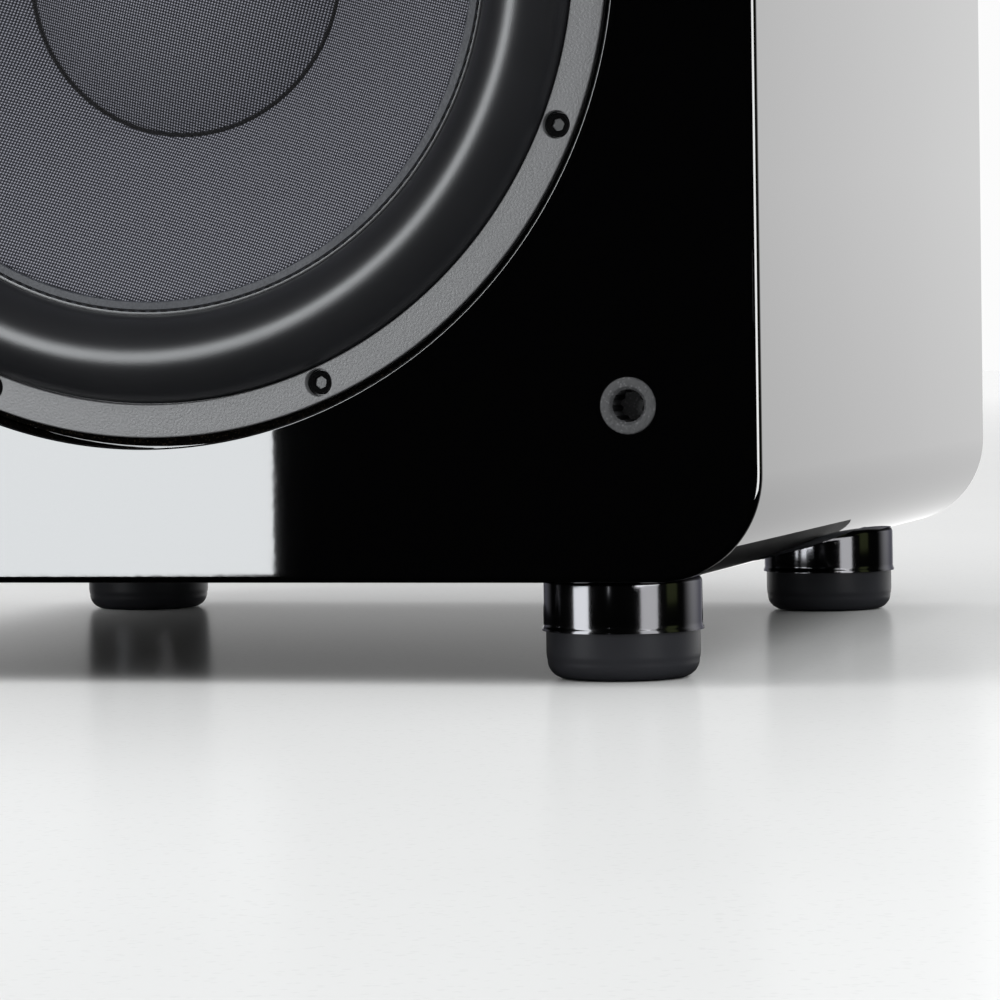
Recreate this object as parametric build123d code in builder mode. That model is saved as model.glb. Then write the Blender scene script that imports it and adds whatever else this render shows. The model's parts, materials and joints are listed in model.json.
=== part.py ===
"""Closed-box powered subwoofer with a front long-throw driver and a rear plate amplifier.

Millimetres, +Z up.  The front looks along -Y, x = 0 is the middle of the width, z = 0 is the
floor under the feet, and y = 0 is the middle of the whole depth.
"""

import os
from math import cos, radians, sin, sqrt

from build123d import *

# ---------------------------------------------------------------- cabinet
CABINET_W = 450.0
CABINET_H = 446.0
CABINET_D = 480.0
FLOOR_GAP = 36.8  # floor to the underside, which is the height of the feet
LONG_EDGE_R = 38.0  # the four edges that run from front to back
FACE_EDGE_R = 2.3  # the edges around the front and the back
RIM_EDGE_R = 0.6  # the lacquered edge of the driver's recess
WALL = 25.0
FRONT_WALL = 30.0
BAFFLE_T = 18.0  # second layer behind the front wall
BRACE_T = 18.0
BRACE_DEPTH = 236.0
REAR_PANEL_T = 22.0
REAR_PANEL_INSET = 2.0
WADDING_T = 18.0

# ---------------------------------------------------------------- driver, depths from the front face
RING_R = 171.0
RING_INNER_R = 158.9
RING_FACE = 7.0
RING_T = 3.5
RING_EDGE_R = 0.4
LANDING_T = 1.5  # rubber landing of the surround, clamped under the trim ring
FLANGE_T = 5.5
GASKET_T = 2.5
GASKET_HOLE_R = 3.2
RECESS_R = 174.6
OPENING_R = 151.0
BOLT_CIRCLE_R = 164.4
BOLT_COUNT = 8
BOLT_FIRST_ANGLE = 22.5
COUNTERBORE_R = 4.9
ROLL_INNER_R = 127.2
CONE_R = 121.9
FLANGE_FACE = 8.5  # front of the surround's inner flange
EDGE_FLANGE_T = 2.4
ROLL_CREST = -5.0  # the roll stands this far in front of the cabinet
ROLL_T = 1.3
NECK_R = 38.0
NECK_DEPTH = 66.0
CONE_MID_R = 78.0
CONE_MID_DEPTH = 37.0
CONE_T = 1.7
CAP_R = 60.0
CAP_RISE = 15.0
FORMER_T = 0.4
FORMER_START = 60.0
FORMER_END = 146.0
COIL_T = 2.0
COIL_START = 107.0
COIL_END = 141.0
GAP_CLEARANCE = 1.2
SPIDER_DEPTH = 88.0
SPIDER_R = 84.0
SPIDER_WAVES = 4
SPIDER_WAVE_H = 1.5
SPIDER_T = 0.7
SPIDER_FLAT = 6.0  # plain ring at the inner and outer edges
THROAT_R = 140.5  # inside of the basket just behind its flange
BASE_R = 92.0  # basket base, magnet rings
BASE_SHOULDER = 94.0
TOP_PLATE_FRONT = 118.0
TOP_PLATE_T = 12.0
MAGNET_T = 20.0
BACK_PLATE_T = 12.0
SPOKE_W = 16.0
SPOKE_WINDOW_START = 26.0
SPOKE_WINDOW_L = 80.0
SPIDER_SHELF_END = 109.0
SCREW_HEAD_R = 4.25
SCREW_HEAD_H = 4.8
SCREW_SHANK_R = 2.45
SCREW_SHANK_L = 30.0
SCREW_HOLE_R = 2.75
HEX_ACROSS_FLATS = 4.0
HEX_DEPTH = 2.8
INSERT_R = 4.0
INSERT_COLLAR_R = 8.0
INSERT_COLLAR_T = 1.0
VENT_R = 14.0  # hole through the pole
BOOT_T = 3.0

# ---------------------------------------------------------------- grille sockets and feet
SOCKET_R = 10.0
SOCKET_L = 16.0
SOCKET_BORE_R = 5.7
SOCKET_BORE_L = 13.0
SOCKET_SEAT_DEPTH = 18.0
SOCKET_PILOT_R = 6.0  # drilled on through the front wall, closed by the second layer
SOCKET_FROM_SIDE = 47.0
SOCKET_FROM_END = 61.7
FOOT_X = 162.5
FOOT_FROM_FACE = 50.5
PAD_R = 27.9
PAD_EDGE_R = 6.0
COLLAR_LIP_R = 29.2
COLLAR_TOP_R = 28.7
COLLAR_LIP_Z = 17.4
COLLAR_TOP_T = 3.2
PAD_RECESS_R = 9.0
FOOT_BOLT_R = 3.0
FOOT_BOLT_HEAD_R = 6.0
FOOT_BOLT_HEAD_H = 4.0
FOOT_BOLT_SEAT_Z = 14.0
FOOT_BOLT_END_Z = 58.0
FOOT_BOLT_HEX_DEPTH = 2.5
FOOT_BOLT_CLEARANCE = 0.3
FOOT_INSERT_R = 5.5

# ---------------------------------------------------------------- rear amplifier, seen from behind
PLATE_W = 300.0
PLATE_H = 360.0
PLATE_T = 3.5
PLATE_CORNER_R = 8.0
PLATE_GASKET_T = 1.5
PLATE_SCREW_HEAD_R = 4.0
PLATE_SCREW_HEAD_H = 2.6
PLATE_SCREW_R = 2.05
PLATE_SCREW_L = 18.0
PLATE_SCREW_HOLE_R = 2.2
PLATE_SCREW_PILOT_R = 2.1
PLATE_SCREW_EDGE = 7.0  # screw centres, in from the plate's edge
PLATE_LIP = 14.0  # the plate overlaps its cut-out by this much
CUT_OUT_R = 6.0
SINK_U = 82.5
SINK_W = 105.0
SINK_H = 300.0
SINK_BASE_T = 4.0
SINK_OUT = 20.0  # how far the fins stand behind the cabinet plate
FIN_COUNT = 10
FIN_T = 2.4
SINK_SCREW_R = 1.55
SINK_SCREW_HOLE_R = 1.6
SINK_SCREW_HEAD_R = 3.2
SINK_SCREW_HEAD_H = 2.5
SINK_THREAD_L = 3.0
KNOB_V = 112.0
KNOB_US = (-118.0, -73.0, -28.0)
KNOB_NAMES = ("volume_knob", "crossover_knob", "phase_knob")
KNOB_R = 12.0
KNOB_H = 14.0
KNOB_GAP = 0.8
KNOB_SKIRT = 3.0  # hollow depth under the knob
KNOB_WALL = 2.0
STEM_INTO_POT = 8.0
POT_W = 17.0
POT_DEPTH = 10.0
STEM_R = 3.0
RUNNING_FIT = 0.05
TOGGLE = (-108.0, 56.0)
TRIGGER = (-40.0, 56.0)
LED = (-73.0, 148.0)
JACK_CENTRE = (-73.0, -12.0)
JACK_PITCH_U = 36.0
JACK_PITCH_V = 32.0
JACK_SHELL_R = 4.15
JACK_SHELL_L = 8.5
JACK_BODY_R = 5.0
JACK_BODY_L = 9.0
JACK_COLLAR_R = 6.5
JACK_COLLAR_T = 2.0
JACK_PANEL_T = 1.5
JACK_PANEL_MARGIN = 28.0
JACK_PANEL_CORNER_R = 3.0
JACK_BORE_R = 1.7
JACK_BORE_START = 2.0
SWITCH = (-112.0, -112.0)
INLET = (-58.0, -112.0)
ROCKER_TILT = 10.0
TRANSFORMER = (62.0, -106.0)
TRANSFORMER_R = 52.0
TRANSFORMER_T = 46.0
TRANSFORMER_HOLE_R = 14.0
TRANSFORMER_EDGE_R = 9.0
TRANSFORMER_WASHER_R = 26.0
TRANSFORMER_WASHER_T = 1.5
TRANSFORMER_NUT_R = 5.8
TRANSFORMER_NUT_H = 4.0
TRANSFORMER_BOLT_R = 2.95
ENCLOSURE_DEPTH = 70.0
SHEET_T = 1.2
CABLE_R = 3.0
CABLE_BEND_R = 90.0
CABLE_DROP = 100.0  # terminal block and grommet, below the driver's axis

# ---------------------------------------------------------------- derived planes and places
REAR_STAND = SINK_OUT - REAR_PANEL_INSET
Y_FRONT = -(CABINET_D + REAR_STAND - ROLL_CREST) / 2 - ROLL_CREST
Y_BACK = Y_FRONT + CABINET_D
Y_PLATE = Y_BACK - REAR_PANEL_INSET
DRIVER_Z = FLOOR_GAP + CABINET_H / 2

# local z runs into the cabinet from the front face
FRONT = Plane(origin=(0, Y_FRONT, DRIVER_Z), x_dir=(1, 0, 0), z_dir=(0, 1, 0))
# local x is the radius and local y the depth, for turned pieces of the driver
SECTION = Plane(origin=(0, Y_FRONT, DRIVER_Z), x_dir=(1, 0, 0), z_dir=(0, 0, 1))
DRIVER_AXIS = Axis((0, Y_FRONT, DRIVER_Z), (0, 1, 0))
# local x and y are right and up seen from behind, local z points out of the amplifier plate
REAR = Plane(origin=(0, Y_PLATE, DRIVER_Z), x_dir=(-1, 0, 0), z_dir=(0, 1, 0))

LANDING_FRONT = RING_FACE + RING_T
FLANGE_FRONT = LANDING_FRONT + LANDING_T
GASKET_FRONT = FLANGE_FRONT + FLANGE_T
RECESS_FLOOR = GASKET_FRONT + GASKET_T
BAFFLE_BACK = FRONT_WALL + BAFFLE_T
MAGNET_FRONT = TOP_PLATE_FRONT + TOP_PLATE_T
BACK_PLATE_FRONT = MAGNET_FRONT + 2 * MAGNET_T
MOTOR_END = BACK_PLATE_FRONT + BACK_PLATE_T
FORMER_R = NECK_R
POLE_R = FORMER_R - FORMER_T - GAP_CLEARANCE
PLATE_RING_R = BASE_R - 8  # the steel plates stop short of the magnet's rim
GAP_R = FORMER_R + COIL_T + GAP_CLEARANCE
HEAD_BOTTOM = FLANGE_FRONT + 2.3
HEX_R = HEX_ACROSS_FLATS / sqrt(3)
PLATE_INNER = -PLATE_T
ENCLOSURE_FRONT = PLATE_INNER - ENCLOSURE_DEPTH
FOOT_YS = {"front": Y_FRONT + FOOT_FROM_FACE, "rear": Y_BACK - FOOT_FROM_FACE}
FOOT_XS = {"left": -FOOT_X, "right": FOOT_X}
FOOT_PLACES = [(x, y) for x in FOOT_XS.values() for y in FOOT_YS.values()]
SOCKET_PLACES = [
    (side * (CABINET_W / 2 - SOCKET_FROM_SIDE), end * (CABINET_H / 2 - SOCKET_FROM_END))
    for side in (-1, 1)
    for end in (-1, 1)
]
JACK_PLACES = [
    (JACK_CENTRE[0] + i * JACK_PITCH_U / 2, JACK_CENTRE[1] + j * JACK_PITCH_V / 2)
    for i in (-1, 1)
    for j in (-1, 1)
]
SCREW_U = PLATE_W / 2 - PLATE_SCREW_EDGE
SCREW_V = PLATE_H / 2 - PLATE_SCREW_EDGE
PLATE_SCREWS = [(u, v) for u in (-SCREW_U, SCREW_U) for v in (-165, -55, 55, 165)]
PLATE_SCREWS += [(u, v) for u in (-70, 70) for v in (-SCREW_V, SCREW_V)]
SINK_SCREWS = [(SINK_U + i * 40, v) for i in (-1, 1) for v in (-40, 140)]

os.makedirs("parts", exist_ok=True)


def save(builder, name):
    """Label a finished piece and write it as one STEP file."""
    builder.part.label = name
    export_step(builder.part, f"parts/{name}.step")


def cone_depth(radius):
    """Depth of the cone's front surface: an arc from its rim through the middle to the neck."""
    x1, y1 = CONE_R, FLANGE_FACE + EDGE_FLANGE_T
    x2, y2 = CONE_MID_R, CONE_MID_DEPTH
    x3, y3 = NECK_R, NECK_DEPTH
    a = x1 * (y2 - y3) - y1 * (x2 - x3) + x2 * y3 - x3 * y2
    s1, s2, s3 = x1**2 + y1**2, x2**2 + y2**2, x3**2 + y3**2
    cx = (s1 * (y2 - y3) + s2 * (y3 - y1) + s3 * (y1 - y2)) / (2 * a)
    cy = (s1 * (x3 - x2) + s2 * (x1 - x3) + s3 * (x2 - x1)) / (2 * a)
    reach = sqrt((x2 - cx) ** 2 + (y2 - cy) ** 2)
    side = 1 if y2 > cy else -1
    return cy + side * sqrt(reach**2 - (radius - cx) ** 2)


# ================================================================ cabinet
with BuildPart() as cabinet_shell:
    with BuildSketch(FRONT):
        RectangleRounded(CABINET_W, CABINET_H, LONG_EDGE_R)
    extrude(amount=CABINET_D)
    end_faces = cabinet_shell.faces().filter_by(Axis.Y)
    fillet(end_faces.edges(), FACE_EDGE_R)
    with BuildSketch(FRONT.offset(FRONT_WALL)):
        RectangleRounded(CABINET_W - 2 * WALL, CABINET_H - 2 * WALL, LONG_EDGE_R - WALL)
    extrude(amount=CABINET_D, mode=Mode.SUBTRACT)
    with BuildSketch(FRONT):
        Circle(OPENING_R)
    extrude(amount=FRONT_WALL + 1, mode=Mode.SUBTRACT)
    with BuildSketch(FRONT):
        Circle(RECESS_R)
    extrude(amount=RECESS_FLOOR, mode=Mode.SUBTRACT)
    circles = cabinet_shell.edges().filter_by(GeomType.CIRCLE)
    rim = circles.filter_by(lambda e: abs(e.radius - RECESS_R) < 0.01).sort_by(Axis.Y)[0]
    fillet(rim, RIM_EDGE_R)
    with BuildSketch(FRONT):
        with Locations(*SOCKET_PLACES):
            Circle(SOCKET_R)
    extrude(amount=SOCKET_SEAT_DEPTH, mode=Mode.SUBTRACT)
    with BuildSketch(FRONT):
        with Locations(*SOCKET_PLACES):
            Circle(SOCKET_PILOT_R)
    extrude(amount=FRONT_WALL + 1, mode=Mode.SUBTRACT)
    with BuildSketch(FRONT.offset(RECESS_FLOOR)):
        with PolarLocations(BOLT_CIRCLE_R, BOLT_COUNT, BOLT_FIRST_ANGLE):
            Circle(INSERT_R)
    extrude(amount=FRONT_WALL, mode=Mode.SUBTRACT)
    with BuildSketch(Plane.XY.offset(FLOOR_GAP)):
        with Locations(*FOOT_PLACES):
            Circle(FOOT_INSERT_R)
    extrude(amount=WALL, mode=Mode.SUBTRACT)
save(cabinet_shell, "cabinet_shell")

with BuildPart() as front_baffle:
    with BuildSketch(FRONT.offset(FRONT_WALL)):
        RectangleRounded(CABINET_W - 2 * WALL, CABINET_H - 2 * WALL, LONG_EDGE_R - WALL)
        Circle(OPENING_R, mode=Mode.SUBTRACT)
        with PolarLocations(BOLT_CIRCLE_R, BOLT_COUNT, BOLT_FIRST_ANGLE):
            Circle(INSERT_R, mode=Mode.SUBTRACT)
    extrude(amount=BAFFLE_T)
save(front_baffle, "front_baffle")

with BuildPart() as rear_panel:
    with BuildSketch(REAR.offset(-REAR_PANEL_T)):
        RectangleRounded(CABINET_W - 2 * WALL, CABINET_H - 2 * WALL, LONG_EDGE_R - WALL)
    extrude(amount=REAR_PANEL_T)
    with BuildSketch(REAR.offset(-PLATE_T - PLATE_GASKET_T)):
        RectangleRounded(PLATE_W + 1, PLATE_H + 1, PLATE_CORNER_R + 0.5)
    extrude(amount=REAR_PANEL_T, mode=Mode.SUBTRACT)
    with BuildSketch(REAR.offset(-REAR_PANEL_T)):
        RectangleRounded(PLATE_W - 2 * PLATE_LIP, PLATE_H - 2 * PLATE_LIP, CUT_OUT_R)
    extrude(amount=REAR_PANEL_T, mode=Mode.SUBTRACT)
    with BuildSketch(REAR.offset(-REAR_PANEL_T)):
        with Locations(*PLATE_SCREWS):
            Circle(PLATE_SCREW_PILOT_R)
    extrude(amount=REAR_PANEL_T, mode=Mode.SUBTRACT)
save(rear_panel, "rear_panel")

WINDOW_W = 260.0
WINDOW_H = 115.0
WINDOW_R = 24.0
BAR_H = 40.0
with BuildPart() as window_brace:
    with BuildSketch(FRONT.offset(BRACE_DEPTH)):
        RectangleRounded(CABINET_W - 2 * WALL, CABINET_H - 2 * WALL, LONG_EDGE_R - WALL)
        with Locations((0, (BAR_H + WINDOW_H) / 2), (0, -(BAR_H + WINDOW_H) / 2)):
            RectangleRounded(WINDOW_W, WINDOW_H, WINDOW_R, mode=Mode.SUBTRACT)
    extrude(amount=BRACE_T)
save(window_brace, "window_brace")

CAVITY_W = CABINET_W - 2 * WALL
CAVITY_H = CABINET_H - 2 * WALL
SIDE_SLAB_H = CAVITY_H - 2 * WADDING_T - 8
TOP_SLAB_W = CAVITY_W - 30
WADDING_GAP = 1.0
FRONT_SLAB_L = 186.0
REAR_SLAB_L = 140.0
with BuildPart() as wadding:
    for start, length in ((BAFFLE_BACK, FRONT_SLAB_L), (BRACE_DEPTH + BRACE_T, REAR_SLAB_L)):
        with BuildSketch(FRONT.offset(start + WADDING_GAP)):
            with Locations(((CAVITY_W - WADDING_T) / 2, 0), (-(CAVITY_W - WADDING_T) / 2, 0)):
                Rectangle(WADDING_T, SIDE_SLAB_H)
            with Locations((0, (CAVITY_H - WADDING_T) / 2), (0, -(CAVITY_H - WADDING_T) / 2)):
                Rectangle(TOP_SLAB_W, WADDING_T)
        extrude(amount=length)
save(wadding, "wadding")

# ================================================================ fixed parts of the driver
with BuildPart() as driver_gasket:
    with BuildSketch(FRONT.offset(GASKET_FRONT)):
        Circle(RECESS_R - 0.3)
        Circle(OPENING_R + 1, mode=Mode.SUBTRACT)
        with PolarLocations(BOLT_CIRCLE_R, BOLT_COUNT, BOLT_FIRST_ANGLE):
            Circle(GASKET_HOLE_R, mode=Mode.SUBTRACT)
    extrude(amount=GASKET_T)
save(driver_gasket, "driver_gasket")

with BuildPart() as trim_ring:
    with BuildSketch(FRONT.offset(RING_FACE)):
        Circle(RING_R)
        Circle(RING_INNER_R, mode=Mode.SUBTRACT)
        with PolarLocations(BOLT_CIRCLE_R, BOLT_COUNT, BOLT_FIRST_ANGLE):
            Circle(COUNTERBORE_R, mode=Mode.SUBTRACT)
    extrude(amount=RING_T)
    front_circles = trim_ring.faces().sort_by(Axis.Y)[0].edges()
    front_circles = front_circles.filter_by(lambda e: e.radius > COUNTERBORE_R + 1)
    fillet(front_circles, RING_EDGE_R)
save(trim_ring, "trim_ring")

with BuildPart() as driver_basket:
    with BuildSketch(SECTION):
        with BuildLine():
            Polyline(
                (RING_INNER_R - 1.5, FLANGE_FRONT),
                (RING_R, FLANGE_FRONT),
                (RING_R, GASKET_FRONT),
                (OPENING_R - 1, GASKET_FRONT),
                (OPENING_R - 3, GASKET_FRONT + 5),
                (BASE_R + 5, BASE_SHOULDER),
                (BASE_R, BASE_SHOULDER + 5),
                (BASE_R, TOP_PLATE_FRONT),
                (POLE_R + 10, TOP_PLATE_FRONT),
                (POLE_R + 10, SPIDER_SHELF_END),
                (SPIDER_R - SPIDER_FLAT, SPIDER_SHELF_END),
                (SPIDER_R - SPIDER_FLAT, SPIDER_DEPTH + SPIDER_T),
                (SPIDER_R + 2, SPIDER_DEPTH + SPIDER_T),
                (THROAT_R, FLANGE_FRONT + 4.5),
                close=True,
            )
        make_face()
    revolve(axis=DRIVER_AXIS)
    with BuildSketch(FRONT.offset(SPOKE_WINDOW_START)):
        Circle(RING_R)
        Circle(BASE_R + 1, mode=Mode.SUBTRACT)
        with PolarLocations(BASE_R, BOLT_COUNT, BOLT_FIRST_ANGLE):
            Rectangle(2 * BASE_R, SPOKE_W, mode=Mode.SUBTRACT)
    extrude(amount=SPOKE_WINDOW_L, mode=Mode.SUBTRACT)
    with BuildSketch(FRONT.offset(FLANGE_FRONT)):
        with PolarLocations(BOLT_CIRCLE_R, BOLT_COUNT, BOLT_FIRST_ANGLE):
            Circle(COUNTERBORE_R)
    extrude(amount=HEAD_BOTTOM - FLANGE_FRONT, mode=Mode.SUBTRACT)
    with BuildSketch(FRONT.offset(FLANGE_FRONT)):
        with PolarLocations(BOLT_CIRCLE_R, BOLT_COUNT, BOLT_FIRST_ANGLE):
            Circle(SCREW_HOLE_R)
    extrude(amount=FLANGE_T + 1, mode=Mode.SUBTRACT)
save(driver_basket, "driver_basket")

with BuildPart() as driver_screws:
    with BuildSketch(FRONT.offset(HEAD_BOTTOM - SCREW_HEAD_H)):
        with PolarLocations(BOLT_CIRCLE_R, BOLT_COUNT, BOLT_FIRST_ANGLE):
            Circle(SCREW_HEAD_R)
    extrude(amount=SCREW_HEAD_H)
    chamfer(driver_screws.edges().group_by(Axis.Y)[0], 0.5)
    with BuildSketch(FRONT.offset(HEAD_BOTTOM)):
        with PolarLocations(BOLT_CIRCLE_R, BOLT_COUNT, BOLT_FIRST_ANGLE):
            Circle(SCREW_SHANK_R)
    extrude(amount=SCREW_SHANK_L)
    with BuildSketch(FRONT.offset(HEAD_BOTTOM - SCREW_HEAD_H)):
        with PolarLocations(BOLT_CIRCLE_R, BOLT_COUNT, BOLT_FIRST_ANGLE):
            RegularPolygon(HEX_R, 6)
    extrude(amount=HEX_DEPTH, mode=Mode.SUBTRACT)
save(driver_screws, "driver_screws")

with BuildPart() as driver_inserts:
    with BuildSketch(FRONT.offset(FRONT_WALL)):
        with PolarLocations(BOLT_CIRCLE_R, BOLT_COUNT, BOLT_FIRST_ANGLE):
            Circle(INSERT_R)
            Circle(SCREW_SHANK_R + RUNNING_FIT, mode=Mode.SUBTRACT)
    extrude(amount=BAFFLE_T)
    with BuildSketch(FRONT.offset(BAFFLE_BACK)):
        with PolarLocations(BOLT_CIRCLE_R, BOLT_COUNT, BOLT_FIRST_ANGLE):
            Circle(INSERT_COLLAR_R)
            Circle(SCREW_SHANK_R + RUNNING_FIT, mode=Mode.SUBTRACT)
    extrude(amount=INSERT_COLLAR_T)
save(driver_inserts, "driver_inserts")

with BuildPart() as top_plate:
    with BuildSketch(FRONT.offset(TOP_PLATE_FRONT)):
        Circle(PLATE_RING_R)
        Circle(GAP_R, mode=Mode.SUBTRACT)
    extrude(amount=TOP_PLATE_T)
save(top_plate, "top_plate")

with BuildPart() as magnet_rings:
    with BuildSketch(FRONT.offset(MAGNET_FRONT)):
        Circle(BASE_R)
        Circle(GAP_R + 6, mode=Mode.SUBTRACT)
    extrude(amount=2 * MAGNET_T)
save(magnet_rings, "magnet_rings")

with BuildPart() as yoke:
    with BuildSketch(FRONT.offset(BACK_PLATE_FRONT)):
        Circle(PLATE_RING_R)
    extrude(amount=BACK_PLATE_T)
    with BuildSketch(FRONT.offset(TOP_PLATE_FRONT)):
        Circle(POLE_R)
    extrude(amount=BACK_PLATE_FRONT - TOP_PLATE_FRONT)
    with BuildSketch(FRONT.offset(TOP_PLATE_FRONT)):
        Circle(VENT_R)
    extrude(amount=MOTOR_END, mode=Mode.SUBTRACT)
save(yoke, "yoke")

with BuildPart() as magnet_boot:
    with BuildSketch(FRONT.offset(MAGNET_FRONT)):
        Circle(BASE_R + BOOT_T)
        Circle(BASE_R, mode=Mode.SUBTRACT)
    extrude(amount=2 * MAGNET_T)
    with BuildSketch(FRONT.offset(BACK_PLATE_FRONT)):
        Circle(BASE_R + BOOT_T)
        Circle(PLATE_RING_R, mode=Mode.SUBTRACT)
    extrude(amount=BACK_PLATE_T)
save(magnet_boot, "magnet_boot")

BLOCK_W = 34.0
BLOCK_H = 14.0
BLOCK_START = 101.0
BLOCK_END = TOP_PLATE_FRONT
LEAD_R = 0.8
LEAD_X = 10.0
with BuildPart() as terminal_block:
    with BuildSketch(FRONT.offset(BLOCK_START)):
        with Locations((0, CABLE_DROP)):
            Rectangle(BLOCK_W, BLOCK_H)
        Circle(BASE_R, mode=Mode.SUBTRACT)
    extrude(amount=BLOCK_END - BLOCK_START)
save(terminal_block, "terminal_block")

# ================================================================ moving parts of the driver
RIM_DEPTH = FLANGE_FACE + EDGE_FLANGE_T
RIM_R = ROLL_INNER_R - 0.6
with BuildPart() as cone:
    with BuildSketch(SECTION):
        with BuildLine():
            Line((RIM_R, RIM_DEPTH), (CONE_R, RIM_DEPTH))
            ThreePointArc((CONE_R, RIM_DEPTH), (CONE_MID_R, CONE_MID_DEPTH), (NECK_R, NECK_DEPTH))
            Line((NECK_R, NECK_DEPTH), (NECK_R, NECK_DEPTH + CONE_T))
            ThreePointArc(
                (NECK_R, NECK_DEPTH + CONE_T),
                (CONE_MID_R, CONE_MID_DEPTH + CONE_T),
                (CONE_R, RIM_DEPTH + CONE_T),
            )
            Line((CONE_R, RIM_DEPTH + CONE_T), (RIM_R, RIM_DEPTH + CONE_T))
            Line((RIM_R, RIM_DEPTH + CONE_T), (RIM_R, RIM_DEPTH))
        make_face()
    revolve(axis=DRIVER_AXIS)
save(cone, "cone")

CAP_BASE = cone_depth(CAP_R)
CAP_T = 1.2
CAP_SPHERE_R = (CAP_R**2 + CAP_RISE**2) / (2 * CAP_RISE)
with BuildPart() as dust_cap:
    with Locations(FRONT.from_local_coords(Vector(0, 0, CAP_BASE - CAP_RISE + CAP_SPHERE_R))):
        Sphere(CAP_SPHERE_R)
        Sphere(CAP_SPHERE_R - CAP_T, mode=Mode.SUBTRACT)
    split(bisect_by=FRONT.offset(CAP_BASE), keep=Keep.BOTTOM)
save(dust_cap, "dust_cap")

with BuildPart() as voice_coil_former:
    with BuildSketch(FRONT.offset(FORMER_START)):
        Circle(FORMER_R)
        Circle(FORMER_R - FORMER_T, mode=Mode.SUBTRACT)
    extrude(amount=FORMER_END - FORMER_START)
save(voice_coil_former, "voice_coil_former")

with BuildPart() as voice_coil:
    with BuildSketch(FRONT.offset(COIL_START)):
        Circle(FORMER_R + COIL_T)
        Circle(FORMER_R, mode=Mode.SUBTRACT)
    extrude(amount=COIL_END - COIL_START)
save(voice_coil, "voice_coil")

STITCH_R = 125.3
STITCH_W = 0.7
STITCH_GROOVE = 0.7
STITCH_SUNK = 0.1
with BuildPart() as surround:
    with BuildSketch(SECTION):
        with BuildLine():
            roll_middle = (ROLL_INNER_R + RING_INNER_R) / 2
            Line((CONE_R, FLANGE_FACE), (ROLL_INNER_R, FLANGE_FACE))
            ThreePointArc(
                (ROLL_INNER_R, FLANGE_FACE),
                (roll_middle, ROLL_CREST),
                (RING_INNER_R - 0.2, LANDING_FRONT),
            )
            Polyline(
                (RING_INNER_R - 0.2, LANDING_FRONT),
                (RING_R - 0.5, LANDING_FRONT),
                (RING_R - 0.5, FLANGE_FRONT),
                (RING_INNER_R - ROLL_T, FLANGE_FRONT),
            )
            ThreePointArc(
                (RING_INNER_R - ROLL_T, FLANGE_FRONT),
                (roll_middle, ROLL_CREST + ROLL_T),
                (ROLL_INNER_R + ROLL_T, RIM_DEPTH),
            )
            Polyline((ROLL_INNER_R + ROLL_T, RIM_DEPTH), (CONE_R, RIM_DEPTH), (CONE_R, FLANGE_FACE))
        make_face()
    revolve(axis=DRIVER_AXIS)
    with BuildSketch(FRONT.offset(FLANGE_FACE)):
        Circle(STITCH_R + STITCH_W / 2)
        Circle(STITCH_R - STITCH_W / 2, mode=Mode.SUBTRACT)
    extrude(amount=STITCH_GROOVE, mode=Mode.SUBTRACT)
    with BuildSketch(FRONT.offset(LANDING_FRONT)):
        with PolarLocations(BOLT_CIRCLE_R, BOLT_COUNT, BOLT_FIRST_ANGLE):
            Circle(COUNTERBORE_R)
    extrude(amount=LANDING_T, mode=Mode.SUBTRACT)
save(surround, "surround")

with BuildPart() as edge_stitching:
    with BuildSketch(FRONT.offset(FLANGE_FACE + STITCH_SUNK)):
        Circle(STITCH_R + STITCH_W / 2)
        Circle(STITCH_R - STITCH_W / 2, mode=Mode.SUBTRACT)
    extrude(amount=STITCH_GROOVE - STITCH_SUNK)
save(edge_stitching, "edge_stitching")

with BuildPart() as spider:
    with BuildSketch(SECTION):
        with BuildLine():
            step = (SPIDER_R - SPIDER_FLAT - FORMER_R - SPIDER_FLAT) / (2 * SPIDER_WAVES)
            first = FORMER_R + SPIDER_FLAT
            last = SPIDER_R - SPIDER_FLAT
            for shift in (0, SPIDER_T):
                depth = SPIDER_DEPTH + shift
                Line((FORMER_R, depth), (first, depth))
                Line((last, depth), (SPIDER_R, depth))
                for i in range(2 * SPIDER_WAVES):
                    r0 = first + i * step
                    crest = depth + SPIDER_WAVE_H * (1 if i % 2 else -1)
                    ThreePointArc((r0, depth), (r0 + step / 2, crest), (r0 + step, depth))
            for r in (FORMER_R, SPIDER_R):
                Line((r, SPIDER_DEPTH), (r, SPIDER_DEPTH + SPIDER_T))
        make_face()
    revolve(axis=DRIVER_AXIS)
save(spider, "spider")

LEAD_END_R = 74.0
LEAD_END = cone_depth(LEAD_END_R) + CONE_T + LEAD_R + 0.3
LEAD_BEND_R = 12.0
with BuildPart() as tinsel_leads:
    for side in (-1, 1):
        x = side * LEAD_X
        with BuildLine() as lead_path:
            FilletPolyline(
                FRONT.from_local_coords(Vector(x, CABLE_DROP, BLOCK_START)),
                FRONT.from_local_coords(Vector(x, CABLE_DROP, BLOCK_START - 15)),
                FRONT.from_local_coords(Vector(x, 92, 62)),
                FRONT.from_local_coords(Vector(x, LEAD_END_R, LEAD_END)),
                radius=LEAD_BEND_R,
            )
        lead_start = Plane(
            origin=FRONT.from_local_coords(Vector(x, CABLE_DROP, BLOCK_START)), z_dir=(0, -1, 0)
        )
        with BuildSketch(lead_start):
            Circle(LEAD_R)
        sweep(path=lead_path.line)
save(tinsel_leads, "tinsel_leads")

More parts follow.
